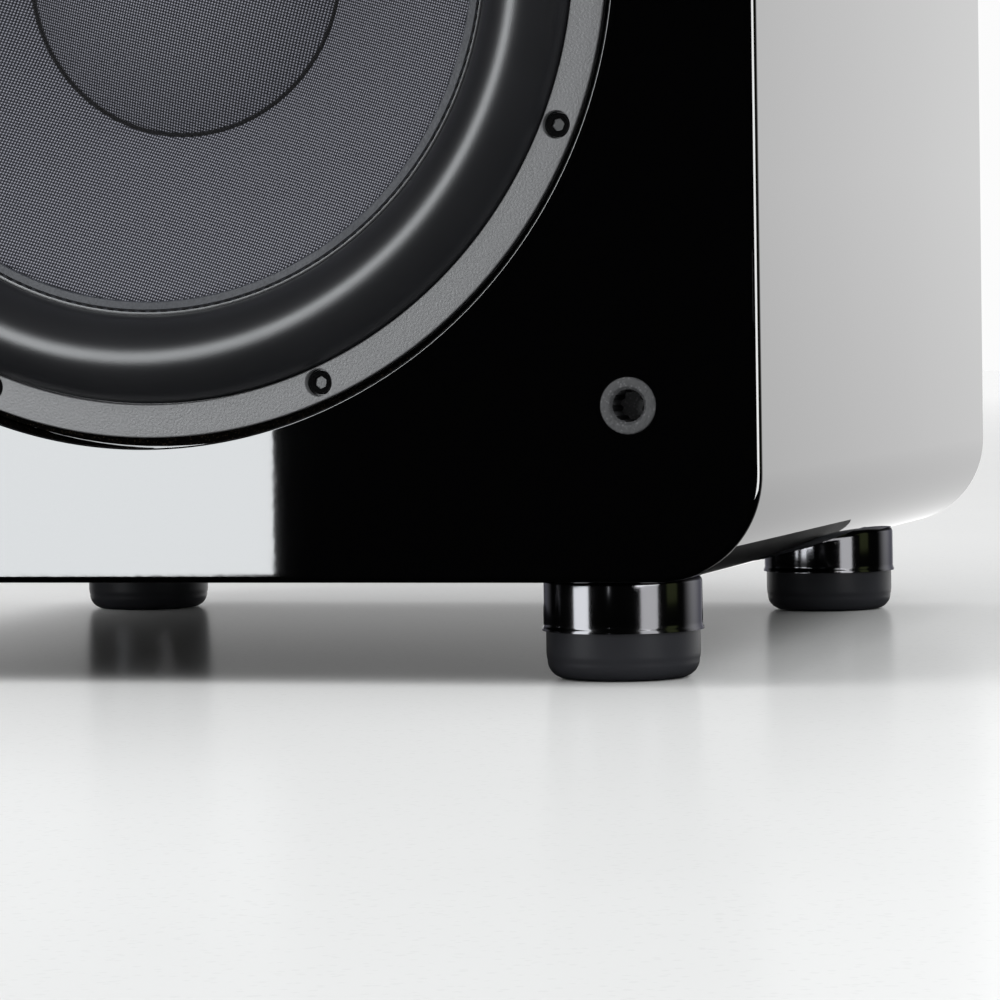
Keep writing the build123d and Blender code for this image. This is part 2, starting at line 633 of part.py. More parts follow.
# ================================================================ grille sockets
with BuildPart() as grille_sockets:
    with BuildSketch(FRONT):
        with Locations(*SOCKET_PLACES):
            Circle(SOCKET_R)
    extrude(amount=SOCKET_L)
    with BuildSketch(FRONT):
        with Locations(*SOCKET_PLACES):
            Circle(SOCKET_BORE_R)
    extrude(amount=SOCKET_BORE_L, mode=Mode.SUBTRACT)
save(grille_sockets, "grille_sockets")

# ================================================================ feet
for end, foot_y in FOOT_YS.items():
    for side, foot_x in FOOT_XS.items():
        foot_section = Plane(origin=(foot_x, foot_y, 0), x_dir=(1, 0, 0), z_dir=(0, -1, 0))
        foot_axis = Axis((foot_x, foot_y, 0), (0, 0, 1))
        with BuildPart() as foot_collar:
            with BuildSketch(foot_section):
                with BuildLine():
                    top = FLOOR_GAP
                    Polyline(
                        (FOOT_BOLT_R + FOOT_BOLT_CLEARANCE, top),
                        (COLLAR_TOP_R - 2, top),
                        (COLLAR_TOP_R - 0.6, top - 0.6),
                        (COLLAR_TOP_R, top - 2),
                        (COLLAR_TOP_R + 0.1, COLLAR_LIP_Z + 3),
                        (COLLAR_LIP_R, COLLAR_LIP_Z + 1),
                        (COLLAR_LIP_R, COLLAR_LIP_Z),
                        (PAD_R + 0.1, COLLAR_LIP_Z),
                        (PAD_R + 0.1, top - COLLAR_TOP_T),
                        (FOOT_BOLT_R + FOOT_BOLT_CLEARANCE, top - COLLAR_TOP_T),
                        close=True,
                    )
                make_face()
            revolve(axis=foot_axis)
        save(foot_collar, f"foot_collar_{end}_{side}")
        with BuildPart() as foot_pad:
            with BuildSketch(Plane.XY):
                with Locations((foot_x, foot_y)):
                    Circle(PAD_R)
            extrude(amount=FLOOR_GAP - COLLAR_TOP_T)
            fillet(foot_pad.edges().group_by(Axis.Z)[0], PAD_EDGE_R)
            with BuildSketch(Plane.XY):
                with Locations((foot_x, foot_y)):
                    Circle(PAD_RECESS_R)
            extrude(amount=FOOT_BOLT_SEAT_Z, mode=Mode.SUBTRACT)
            with BuildSketch(Plane.XY):
                with Locations((foot_x, foot_y)):
                    Circle(FOOT_BOLT_R + FOOT_BOLT_CLEARANCE)
            extrude(amount=FLOOR_GAP, mode=Mode.SUBTRACT)
        save(foot_pad, f"foot_pad_{end}_{side}")

with BuildPart() as foot_bolts:
    with BuildSketch(Plane.XY.offset(FOOT_BOLT_SEAT_Z - FOOT_BOLT_HEAD_H)):
        with Locations(*FOOT_PLACES):
            Circle(FOOT_BOLT_HEAD_R)
    extrude(amount=FOOT_BOLT_HEAD_H)
    with BuildSketch(Plane.XY.offset(FOOT_BOLT_SEAT_Z)):
        with Locations(*FOOT_PLACES):
            Circle(FOOT_BOLT_R)
    extrude(amount=FOOT_BOLT_END_Z - FOOT_BOLT_SEAT_Z)
    with BuildSketch(Plane.XY.offset(FOOT_BOLT_SEAT_Z - FOOT_BOLT_HEAD_H)):
        with Locations(*FOOT_PLACES):
            RegularPolygon(HEX_R, 6)
    extrude(amount=FOOT_BOLT_HEX_DEPTH, mode=Mode.SUBTRACT)
save(foot_bolts, "foot_bolts")

with BuildPart() as foot_inserts:
    with BuildSketch(Plane.XY.offset(FLOOR_GAP + 1)):
        with Locations(*FOOT_PLACES):
            Circle(FOOT_INSERT_R)
            Circle(FOOT_BOLT_R + RUNNING_FIT, mode=Mode.SUBTRACT)
    extrude(amount=WALL - 2)
save(foot_inserts, "foot_inserts")

# ================================================================ plate amplifier
INLET_W = 28.0
INLET_H = 48.0
SWITCH_W = 13.0
SWITCH_H = 19.0
BUSH_R = 3.5
LED_HOLE_R = 3.0
with BuildPart() as amp_plate:
    with BuildSketch(REAR.offset(PLATE_INNER)):
        RectangleRounded(PLATE_W, PLATE_H, PLATE_CORNER_R)
        with Locations(*PLATE_SCREWS):
            Circle(PLATE_SCREW_HOLE_R, mode=Mode.SUBTRACT)
        with Locations(*SINK_SCREWS):
            Circle(SINK_SCREW_HOLE_R, mode=Mode.SUBTRACT)
        with Locations(*[(u, KNOB_V) for u in KNOB_US], TOGGLE, TRIGGER):
            Circle(BUSH_R, mode=Mode.SUBTRACT)
        with Locations(LED, TRANSFORMER):
            Circle(LED_HOLE_R, mode=Mode.SUBTRACT)
        with Locations(*JACK_PLACES):
            Circle(JACK_BODY_R + 0.2, mode=Mode.SUBTRACT)
        with Locations(INLET):
            Rectangle(INLET_W, INLET_H, mode=Mode.SUBTRACT)
        with Locations(SWITCH):
            Rectangle(SWITCH_W, SWITCH_H, mode=Mode.SUBTRACT)
    extrude(amount=PLATE_T)
save(amp_plate, "amp_plate")

with BuildPart() as amp_gasket:
    with BuildSketch(REAR.offset(PLATE_INNER - PLATE_GASKET_T)):
        RectangleRounded(PLATE_W, PLATE_H, PLATE_CORNER_R)
        RectangleRounded(
            PLATE_W - 2 * PLATE_LIP + 2, PLATE_H - 2 * PLATE_LIP + 2, CUT_OUT_R, mode=Mode.SUBTRACT
        )
        with Locations(*PLATE_SCREWS):
            Circle(PLATE_SCREW_HOLE_R, mode=Mode.SUBTRACT)
    extrude(amount=PLATE_GASKET_T)
save(amp_gasket, "amp_gasket")

with BuildPart() as amp_screws:
    with BuildSketch(REAR):
        with Locations(*PLATE_SCREWS):
            Circle(PLATE_SCREW_HEAD_R)
    extrude(amount=PLATE_SCREW_HEAD_H)
    chamfer(amp_screws.edges().group_by(Axis.Y)[-1], 0.8)
    with BuildSketch(REAR.offset(-PLATE_SCREW_L)):
        with Locations(*PLATE_SCREWS):
            Circle(PLATE_SCREW_R)
    extrude(amount=PLATE_SCREW_L)
    with BuildSketch(REAR.offset(1.0)):
        with Locations(*PLATE_SCREWS):
            RegularPolygon(1.6, 6)
    extrude(amount=PLATE_SCREW_HEAD_H, mode=Mode.SUBTRACT)
save(amp_screws, "amp_screws")

with BuildPart() as heat_sink:
    with BuildSketch(REAR):
        with Locations((SINK_U, 0)):
            Rectangle(SINK_W, SINK_H)
    extrude(amount=SINK_BASE_T)
    with BuildSketch(REAR.offset(SINK_BASE_T)):
        with Locations((SINK_U, 0)):
            with GridLocations((SINK_W - FIN_T) / (FIN_COUNT - 1), 1, FIN_COUNT, 1):
                Rectangle(FIN_T, SINK_H)
    extrude(amount=SINK_OUT - SINK_BASE_T)
    with BuildSketch(REAR):
        with Locations(*SINK_SCREWS):
            Circle(SINK_SCREW_HOLE_R)
    extrude(amount=SINK_THREAD_L, mode=Mode.SUBTRACT)
save(heat_sink, "heat_sink")

with BuildPart() as heat_sink_screws:
    with BuildSketch(REAR.offset(PLATE_INNER - SINK_SCREW_HEAD_H)):
        with Locations(*SINK_SCREWS):
            Circle(SINK_SCREW_HEAD_R)
    extrude(amount=SINK_SCREW_HEAD_H)
    with BuildSketch(REAR.offset(PLATE_INNER)):
        with Locations(*SINK_SCREWS):
            Circle(SINK_SCREW_R)
    extrude(amount=PLATE_T + SINK_THREAD_L - 0.5)
save(heat_sink_screws, "heat_sink_screws")

ENCLOSURE_W = PLATE_W - 2 * PLATE_LIP - 4
ENCLOSURE_H = PLATE_H - 2 * PLATE_LIP - 4
GROMMET_R = 6.0
GROMMET_LIP = 2.0
GROMMET_V = -CABLE_DROP
with BuildPart() as amp_enclosure:
    with BuildSketch(REAR.offset(ENCLOSURE_FRONT)):
        Rectangle(ENCLOSURE_W, ENCLOSURE_H)
    extrude(amount=ENCLOSURE_DEPTH)
    with BuildSketch(REAR.offset(ENCLOSURE_FRONT + SHEET_T)):
        Rectangle(ENCLOSURE_W - 2 * SHEET_T, ENCLOSURE_H - 2 * SHEET_T)
    extrude(amount=ENCLOSURE_DEPTH, mode=Mode.SUBTRACT)
    with BuildSketch(REAR.offset(ENCLOSURE_FRONT)):
        with Locations((0, GROMMET_V)):
            Circle(GROMMET_R)
    extrude(amount=SHEET_T, mode=Mode.SUBTRACT)
save(amp_enclosure, "amp_enclosure")

with BuildPart() as cable_grommet:
    with BuildSketch(REAR.offset(ENCLOSURE_FRONT - GROMMET_LIP)):
        with Locations((0, GROMMET_V)):
            Circle(GROMMET_R + GROMMET_LIP)
    extrude(amount=GROMMET_LIP)
    with BuildSketch(REAR.offset(ENCLOSURE_FRONT)):
        with Locations((0, GROMMET_V)):
            Circle(GROMMET_R)
    extrude(amount=SHEET_T + GROMMET_LIP)
    with BuildSketch(REAR.offset(ENCLOSURE_FRONT - GROMMET_LIP)):
        with Locations((0, GROMMET_V)):
            Circle(CABLE_R)
    extrude(amount=GROMMET_LIP, mode=Mode.SUBTRACT)
save(cable_grommet, "cable_grommet")

BOARD_OUT = -22.0  # rear face of the board, from the plate's outer face
BOARD_T = 1.6
BOARD_W = 230.0
BOARD_H = 176.0
BOARD_V = 62.0
BOARD_POST_R = 3.0
BOARD_POST_INSET = 12.0
DEVICE_W = 21.0
DEVICE_H = 16.0
DEVICE_T = 5.0
DEVICE_PITCH = 24.0
DEVICE_V = 60.0
with BuildPart() as main_board:
    with BuildSketch(REAR.offset(BOARD_OUT - BOARD_T)):
        with Locations((0, BOARD_V)):
            Rectangle(BOARD_W, BOARD_H)
    extrude(amount=BOARD_T)
    with BuildSketch(REAR.offset(BOARD_OUT)):
        with Locations((0, BOARD_V)):
            with GridLocations(BOARD_W - BOARD_POST_INSET, BOARD_H - BOARD_POST_INSET, 2, 2):
                Circle(BOARD_POST_R)
    extrude(amount=PLATE_INNER - BOARD_OUT)
    with BuildSketch(REAR.offset(PLATE_INNER - DEVICE_T)):
        with Locations((SINK_U, DEVICE_V)):
            with GridLocations(1, DEVICE_PITCH, 1, 4):
                Rectangle(DEVICE_W, DEVICE_H)
    extrude(amount=DEVICE_T)
save(main_board, "main_board")

CAN_R = 15.0
CAN_L = 40.0
CAN_PITCH = 36.0
CANS = (50.0, BOARD_V - 40)
with BuildPart() as capacitors:
    with BuildSketch(REAR.offset(BOARD_OUT - BOARD_T - CAN_L)):
        with Locations(CANS):
            with GridLocations(CAN_PITCH, CAN_PITCH, 2, 2):
                Circle(CAN_R)
    extrude(amount=CAN_L)
save(capacitors, "capacitors")

with BuildPart() as transformer:
    with BuildSketch(REAR.offset(PLATE_INNER - TRANSFORMER_T)):
        with Locations(TRANSFORMER):
            Circle(TRANSFORMER_R)
            Circle(TRANSFORMER_HOLE_R, mode=Mode.SUBTRACT)
    extrude(amount=TRANSFORMER_T)
    circles = transformer.edges().filter_by(GeomType.CIRCLE)
    fillet(circles.filter_by(lambda e: e.radius > TRANSFORMER_HOLE_R + 1), TRANSFORMER_EDGE_R)
save(transformer, "transformer")

WASHER_OUT = PLATE_INNER - TRANSFORMER_T - TRANSFORMER_WASHER_T
with BuildPart() as transformer_bolt:
    with BuildSketch(REAR.offset(WASHER_OUT)):
        with Locations(TRANSFORMER):
            Circle(TRANSFORMER_WASHER_R)
    extrude(amount=TRANSFORMER_WASHER_T)
    with BuildSketch(REAR.offset(WASHER_OUT - TRANSFORMER_NUT_H)):
        with Locations(TRANSFORMER):
            RegularPolygon(TRANSFORMER_NUT_R, 6)
    extrude(amount=TRANSFORMER_NUT_H)
    with BuildSketch(REAR.offset(PLATE_INNER - TRANSFORMER_T)):
        with Locations(TRANSFORMER):
            Circle(TRANSFORMER_BOLT_R)
    extrude(amount=TRANSFORMER_T + PLATE_T)
save(transformer_bolt, "transformer_bolt")

# ---------------------------------------------------------------- mains inlet and fuse drawer
SOCKET_V = INLET[1] + 9
SOCKET_W = 24.2
SOCKET_H = 16.4
DRAWER_V = INLET[1] - 14
DRAWER_W = 21.0
DRAWER_H = 7.0
DRAWER_L = 15.0
INLET_FACE = 3.0
INLET_DEPTH = 21.0
INLET_SOCKET_L = 16.0
PIN_L = 14.0
PIN_PITCH = 7.0
PULL_OVERLAP_W = 2.4
PULL_OVERLAP_H = 1.6
PULL_T = 1.4
PULL_GAP = 0.1
with BuildPart() as inlet_housing:
    with BuildSketch(REAR):
        with Locations(INLET):
            RectangleRounded(INLET_W + 4, INLET_H + 4, 3)
    extrude(amount=INLET_FACE)
    chamfer(inlet_housing.edges().group_by(Axis.Y)[-1], 0.8)
    with BuildSketch(REAR.offset(-INLET_DEPTH)):
        with Locations(INLET):
            Rectangle(INLET_W - 0.4, INLET_H - 0.4)
    extrude(amount=INLET_DEPTH)
    with BuildSketch(REAR.offset(INLET_FACE - INLET_SOCKET_L)):
        with Locations((INLET[0], SOCKET_V)):
            Rectangle(SOCKET_W, SOCKET_H)
    extrude(amount=INLET_SOCKET_L, mode=Mode.SUBTRACT)
    with BuildSketch(REAR.offset(INLET_FACE - DRAWER_L - 2)):
        with Locations((INLET[0], DRAWER_V)):
            Rectangle(DRAWER_W + 0.6, DRAWER_H + 0.6)
    extrude(amount=DRAWER_L + 2, mode=Mode.SUBTRACT)
save(inlet_housing, "inlet_housing")

PIN_PLACES = [(INLET[0] + i * PIN_PITCH, SOCKET_V + 2 - 4 * abs(i)) for i in (-1, 0, 1)]
with BuildPart() as inlet_pins:
    with BuildSketch(REAR.offset(INLET_FACE - INLET_SOCKET_L)):
        with Locations(*PIN_PLACES):
            Rectangle(2, 4)
    extrude(amount=PIN_L)
save(inlet_pins, "inlet_pins")

with BuildPart() as fuse_drawer:
    with BuildSketch(REAR.offset(INLET_FACE - DRAWER_L)):
        with Locations((INLET[0], DRAWER_V)):
            Rectangle(DRAWER_W, DRAWER_H)
    extrude(amount=DRAWER_L)
    with BuildSketch(REAR.offset(INLET_FACE + PULL_GAP)):
        with Locations((INLET[0], DRAWER_V)):
            Rectangle(DRAWER_W + PULL_OVERLAP_W, DRAWER_H + PULL_OVERLAP_H)
    extrude(amount=PULL_T)
    with BuildSketch(REAR.offset(INLET_FACE)):
        with Locations((INLET[0], DRAWER_V)):
            Rectangle(DRAWER_W, DRAWER_H)
    extrude(amount=PULL_GAP)
    with BuildSketch(REAR.offset(INLET_FACE + 0.5)):
        with Locations((INLET[0], DRAWER_V)):
            SlotOverall(8, 2.4)
    extrude(amount=2, mode=Mode.SUBTRACT)
    with BuildSketch(REAR.offset(INLET_FACE - DRAWER_L + 3)):
        with Locations((INLET[0], DRAWER_V)):
            Rectangle(DRAWER_W - 3, DRAWER_H + 1)
    extrude(amount=DRAWER_L - 6, mode=Mode.SUBTRACT)
save(fuse_drawer, "fuse_drawer")

# ---------------------------------------------------------------- power switch
ROCKER_HALF = 7.6
ROCKER_W = 9.0
ROCKER_OPENING_H = 16.8
BEZEL_T = 1.8
BEZEL_MARGIN = 3.0
SWITCH_DEPTH = 14.0
SWITCH_WELL = 5.0
ROCKER_FACE = 3.5
ROCKER_DIP = 2.2
ROCKER_BACK = -1.5
with BuildPart() as switch_bezel:
    with BuildSketch(REAR):
        with Locations(SWITCH):
            RectangleRounded(SWITCH_W + BEZEL_MARGIN, SWITCH_H + BEZEL_MARGIN, BEZEL_MARGIN / 2)
    extrude(amount=BEZEL_T)
    with BuildSketch(REAR.offset(-SWITCH_DEPTH)):
        with Locations(SWITCH):
            Rectangle(SWITCH_W - 0.3, SWITCH_H - 0.3)
    extrude(amount=SWITCH_DEPTH)
    with BuildSketch(REAR.offset(-SWITCH_WELL)):
        with Locations(SWITCH):
            Rectangle(ROCKER_W + 0.8, ROCKER_OPENING_H)
    extrude(amount=SWITCH_WELL + BEZEL_T + 1, mode=Mode.SUBTRACT)
save(switch_bezel, "switch_bezel")

# profile across the rocker: local x is up and local y points out of the plate
rocker_origin = REAR.from_local_coords(Vector(SWITCH[0], SWITCH[1], 0))
ROCKER_TURN = radians(ROCKER_TILT)
rocker_section = Plane(
    origin=rocker_origin,
    x_dir=(0, sin(ROCKER_TURN), cos(ROCKER_TURN)),
    z_dir=(-1, 0, 0),
)
with BuildPart() as power_rocker:
    with BuildSketch(rocker_section):
        with BuildLine():
            Polyline(
                (-ROCKER_HALF, ROCKER_BACK),
                (ROCKER_HALF, ROCKER_BACK),
                (ROCKER_HALF, ROCKER_FACE),
                (0, ROCKER_DIP),
                (-ROCKER_HALF, ROCKER_FACE),
                close=True,
            )
        make_face()
    extrude(amount=ROCKER_W / 2, both=True)
save(power_rocker, "power_rocker")

# ---------------------------------------------------------------- knobs and their potentiometers
for name, knob_u in zip(KNOB_NAMES, KNOB_US):
    with BuildPart() as knob:
        with BuildSketch(REAR.offset(KNOB_GAP + KNOB_SKIRT)):
            with Locations((knob_u, KNOB_V)):
                Circle(KNOB_R)
        extrude(amount=KNOB_H - KNOB_SKIRT)
        chamfer(knob.edges().group_by(Axis.Y)[-1], 1.0)
        with BuildSketch(REAR.offset(KNOB_GAP)):
            with Locations((knob_u, KNOB_V)):
                Circle(KNOB_R)
                Circle(KNOB_R - KNOB_WALL, mode=Mode.SUBTRACT)
        extrude(amount=KNOB_SKIRT)
        with BuildSketch(REAR.offset(KNOB_H + KNOB_GAP - 0.8)):
            with Locations((knob_u, KNOB_V + KNOB_R - 4)):
                Rectangle(1.2, 8)
        extrude(amount=1, mode=Mode.SUBTRACT)
        with BuildSketch(REAR.offset(PLATE_INNER - STEM_INTO_POT)):
            with Locations((knob_u, KNOB_V)):
                Circle(STEM_R)
        extrude(amount=STEM_INTO_POT + PLATE_T + KNOB_GAP + KNOB_SKIRT)
    save(knob, name)

with BuildPart() as control_pots:
    knob_places = [(u, KNOB_V) for u in KNOB_US]
    with BuildSketch(REAR.offset(PLATE_INNER - POT_DEPTH)):
        with Locations(*knob_places):
            Rectangle(POT_W, POT_W)
    extrude(amount=POT_DEPTH)
    with BuildSketch(REAR.offset(PLATE_INNER)):
        with Locations(*knob_places):
            Circle(BUSH_R)
    extrude(amount=PLATE_T)
    with BuildSketch(REAR.offset(PLATE_INNER - STEM_INTO_POT - 1)):
        with Locations(*knob_places):
            Circle(STEM_R + RUNNING_FIT)
    extrude(amount=PLATE_T + STEM_INTO_POT + 1, mode=Mode.SUBTRACT)
save(control_pots, "control_pots")

# ---------------------------------------------------------------- jacks, toggle switch and lamp
with BuildPart() as line_jacks:
    with BuildSketch(REAR):
        with Locations(JACK_CENTRE):
            RectangleRounded(
                JACK_PITCH_U + JACK_PANEL_MARGIN, JACK_PITCH_V + JACK_PANEL_MARGIN, JACK_PANEL_CORNER_R
            )
    extrude(amount=JACK_PANEL_T)
    with BuildSketch(REAR.offset(PLATE_INNER - JACK_BODY_L)):
        with Locations(*JACK_PLACES):
            Circle(JACK_BODY_R)
    extrude(amount=JACK_BODY_L + PLATE_T)
    with BuildSketch(REAR.offset(JACK_PANEL_T)):
        with Locations(*JACK_PLACES):
            Circle(JACK_COLLAR_R)
    extrude(amount=JACK_COLLAR_T)
    with BuildSketch(REAR.offset(JACK_PANEL_T + JACK_COLLAR_T)):
        with Locations(*JACK_PLACES):
            Circle(JACK_SHELL_R)
    extrude(amount=JACK_SHELL_L)
    with BuildSketch(REAR.offset(JACK_BORE_START)):
        with Locations(*JACK_PLACES):
            Circle(JACK_BORE_R)
    extrude(amount=JACK_PANEL_T + JACK_COLLAR_T + JACK_SHELL_L, mode=Mode.SUBTRACT)
save(line_jacks, "line_jacks")

TRIGGER_BODY_L = 12.0
TRIGGER_NUT_R = 5.0
TRIGGER_NUT_T = 2.2
TRIGGER_BORE_R = 1.8
with BuildPart() as trigger_jack:
    with BuildSketch(REAR.offset(PLATE_INNER - TRIGGER_BODY_L)):
        with Locations(TRIGGER):
            Rectangle(9, 12)
    extrude(amount=TRIGGER_BODY_L)
    with BuildSketch(REAR.offset(PLATE_INNER)):
        with Locations(TRIGGER):
            Circle(BUSH_R)
    extrude(amount=PLATE_T)
    with BuildSketch(REAR):
        with Locations(TRIGGER):
            Circle(TRIGGER_NUT_R)
    extrude(amount=TRIGGER_NUT_T)
    with BuildSketch(REAR.offset(PLATE_INNER - TRIGGER_BODY_L + 2)):
        with Locations(TRIGGER):
            Circle(TRIGGER_BORE_R)
    extrude(amount=TRIGGER_BODY_L + PLATE_T + TRIGGER_NUT_T, mode=Mode.SUBTRACT)
save(trigger_jack, "trigger_jack")

LEVER_PIVOT = 2.0
TOGGLE_BODY_L = 10.0
TOGGLE_NUT_R = 5.6
TOGGLE_NUT_T = 2.0
TOGGLE_BUSH_L = 5.0
TOGGLE_BORE_R = 2.75
with BuildPart() as toggle_base:
    with BuildSketch(REAR.offset(PLATE_INNER - TOGGLE_BODY_L)):
        with Locations(TOGGLE):
            Rectangle(8, 13)
    extrude(amount=TOGGLE_BODY_L)
    with BuildSketch(REAR.offset(PLATE_INNER)):
        with Locations(TOGGLE):
            Circle(BUSH_R)
    extrude(amount=PLATE_T + TOGGLE_BUSH_L)
    with BuildSketch(REAR):
        with Locations(TOGGLE):
            RegularPolygon(TOGGLE_NUT_R, 6)
    extrude(amount=TOGGLE_NUT_T)
    with BuildSketch(REAR.offset(LEVER_PIVOT - 3.2)):
        with Locations(TOGGLE):
            Circle(TOGGLE_BORE_R)
    extrude(amount=TOGGLE_BUSH_L + 3, mode=Mode.SUBTRACT)
save(toggle_base, "toggle_base")

LEVER_L = 12.0
LEVER_BALL_R = 2.2
LEVER_NECK_R = 1.2
with BuildPart() as toggle_lever:
    with Locations(REAR.from_local_coords(Vector(TOGGLE[0], TOGGLE[1], LEVER_PIVOT))):
        Sphere(LEVER_BALL_R)
    with BuildSketch(REAR.offset(LEVER_PIVOT)):
        with Locations(TOGGLE):
            Circle(LEVER_NECK_R)
    extrude(amount=LEVER_L, taper=-2.5)
    fillet(toggle_lever.edges().group_by(Axis.Y)[-1], 1.0)
save(toggle_lever, "toggle_lever")

LED_L = 8.5
LED_EDGE_R = 0.9
with BuildPart() as status_led:
    with BuildSketch(REAR.offset(PLATE_INNER - 4)):
        with Locations(LED):
            Circle(LED_HOLE_R - 0.1)
    extrude(amount=LED_L)
    fillet(status_led.edges().group_by(Axis.Y)[-1], LED_EDGE_R)
save(status_led, "status_led")

# ================================================================ cable from amplifier to driver
# chosen by hand: depth from the front face and distance below the driver's axis
CABLE_END = CABINET_D - REAR_PANEL_INSET + ENCLOSURE_FRONT
CABLE_POINTS = (
    (TOP_PLATE_FRONT, CABLE_DROP),
    (157.0, CABLE_DROP),
    (203.0, CABLE_DROP + 9),
    (256.0, CABLE_DROP + 16),
    (310.0, CABLE_DROP + 12),
    (360.0, CABLE_DROP),
    (CABLE_END, CABLE_DROP),
)
with BuildPart() as driver_cable:
    route = [FRONT.from_local_coords(Vector(0, drop, depth)) for depth, drop in CABLE_POINTS]
    with BuildLine() as cable_path:
        FilletPolyline(*route, radius=CABLE_BEND_R)
    with BuildSketch(Plane(origin=route[0], z_dir=(0, 1, 0))):
        Circle(CABLE_R)
    sweep(path=cable_path.line)
save(driver_cable, "driver_cable")
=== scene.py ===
"""Visible skins, finishes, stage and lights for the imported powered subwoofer.

Metres, +Z up, the front faces -Y.  Lengths in the building code are millimetres in the frame of
the front face, the back face or one foot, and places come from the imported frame.
"""

import json
import random
from math import atan2, cos, hypot, pi, radians, sin, sqrt

import bmesh
import bpy
from mathutils import Matrix, Vector

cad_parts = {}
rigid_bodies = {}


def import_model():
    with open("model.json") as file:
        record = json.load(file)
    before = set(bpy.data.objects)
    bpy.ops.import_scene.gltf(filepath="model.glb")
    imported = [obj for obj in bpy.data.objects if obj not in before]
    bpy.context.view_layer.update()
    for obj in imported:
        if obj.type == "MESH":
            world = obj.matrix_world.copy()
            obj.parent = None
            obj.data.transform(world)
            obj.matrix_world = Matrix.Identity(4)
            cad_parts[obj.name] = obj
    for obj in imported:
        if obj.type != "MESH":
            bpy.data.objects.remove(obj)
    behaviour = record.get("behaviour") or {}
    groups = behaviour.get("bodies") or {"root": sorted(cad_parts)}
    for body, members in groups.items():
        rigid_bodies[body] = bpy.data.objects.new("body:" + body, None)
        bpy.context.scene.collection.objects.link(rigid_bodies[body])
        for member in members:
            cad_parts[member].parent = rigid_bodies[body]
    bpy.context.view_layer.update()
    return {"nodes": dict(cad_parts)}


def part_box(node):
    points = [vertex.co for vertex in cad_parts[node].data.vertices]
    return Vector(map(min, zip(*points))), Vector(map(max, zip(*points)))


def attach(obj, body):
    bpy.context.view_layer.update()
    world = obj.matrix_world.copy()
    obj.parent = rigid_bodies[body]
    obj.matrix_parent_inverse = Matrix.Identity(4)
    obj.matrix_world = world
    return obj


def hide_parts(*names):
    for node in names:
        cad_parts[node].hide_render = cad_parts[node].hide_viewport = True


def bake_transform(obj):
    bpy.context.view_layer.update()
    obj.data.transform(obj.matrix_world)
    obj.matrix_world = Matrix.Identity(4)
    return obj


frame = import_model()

bl_info = {
    "name": "Powered Subwoofer Finish",
    "version": (1, 0, 0),
    "blender": (4, 5, 0),
    "location": "3D View > Sidebar > Subwoofer",
    "description": "Builds the visible pieces, finishes and studio of a powered subwoofer",
    "category": "Object",
}

MM = 0.001
SHELL_LOW, SHELL_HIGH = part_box("cabinet_shell")
RING_LOW, RING_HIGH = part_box("trim_ring")
PLATE_LOW, PLATE_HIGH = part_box("amp_plate")
DRIVER_Z = (RING_LOW.z + RING_HIGH.z) / 2

# local z runs into the cabinet and local y down, from the driver's centre on the front face
FRONT = Matrix.Translation((0, SHELL_LOW.y, DRIVER_Z)) @ Matrix.Rotation(radians(-90), 4, "X")
# local x and y are right and up seen from behind, local z points out of the amplifier plate
REAR = Matrix.Translation((0, PLATE_HIGH.y, DRIVER_Z)) @ Matrix(
    ((-1, 0, 0, 0), (0, 0, 1, 0), (0, 1, 0, 0), (0, 0, 0, 1))
)

# driver, radii and depths in mm from the front face
RING_R = 171.0
RING_INNER_R = 158.9
RING_FACE = 7.0
RING_BACK = 10.5
FLANGE_FRONT = 12.0
RECESS_FLOOR = 20.0
BOLT_CIRCLE_R = 164.4
BOLT_COUNT = 8
FIRST_BOLT_TURN = 22.5
CONE_R = 121.9
CONE_MIDDLE = (78.0, 37.0)
CONE_NECK = (38.0, 66.0)
CONE_THICK = 1.7
ROLL_INNER_R = 127.2
ROLL_CREST = -5.0
EDGE_FACE = 8.5
EDGE_BACK = 10.9
STITCH_R = 125.3
BAND_R = STITCH_R + 0.7
ROLL_STEPS = 320
CAP_R = 60.0
CAP_RISE = 15.0
CAP_THICK = 1.2

# grille sockets, x and y from the driver's centre
SOCKET_PLACES = [(x, y) for x in (-178, 178) for y in (-161.3, 161.3)]

# places on the back, u and v in mm seen from behind
KNOBS = {"volume_knob": -118.0, "crossover_knob": -73.0, "phase_knob": -28.0}
KNOB_V = 112.0
JACK_CENTRE = (-73.0, -12.0)
LAMP = (-73.0, 148.0)


# ---------------------------------------------------------------- settings
class SUBWOOFER_PG_stage(bpy.types.PropertyGroup):
    floor_colour: bpy.props.FloatVectorProperty(
        name="Floor Colour", description="Colour of the studio floor", subtype="COLOR",
        size=3, min=0, max=1, default=(0.84, 0.845, 0.845),
    )
    softbox_strength: bpy.props.FloatProperty(
        name="Softbox Strength", description="Multiplies the light of every softbox",
        default=1.0, min=0,
    )
    surround_light: bpy.props.FloatProperty(
        name="Surrounding Light", description="Even light from all round the object",
        default=0.62, min=0,
    )


class SUBWOOFER_PG_cabinet(bpy.types.PropertyGroup):
    long_edge_radius: bpy.props.FloatProperty(
        name="Long Edge Radius", description="Radius of the four edges from front to back",
        default=0.038, min=0.005, max=0.08, unit="LENGTH", subtype="DISTANCE",
    )
    face_edge_radius: bpy.props.FloatProperty(
        name="Face Edge Radius", description="Radius of the edges round the front and the back",
        default=0.0023, min=0.0005, max=0.01, unit="LENGTH", subtype="DISTANCE",
    )
    lacquer_colour: bpy.props.FloatVectorProperty(
        name="Lacquer Colour", description="Colour under the gloss", subtype="COLOR",
        size=3, min=0, max=1, default=(0.0006, 0.0006, 0.0007),
    )


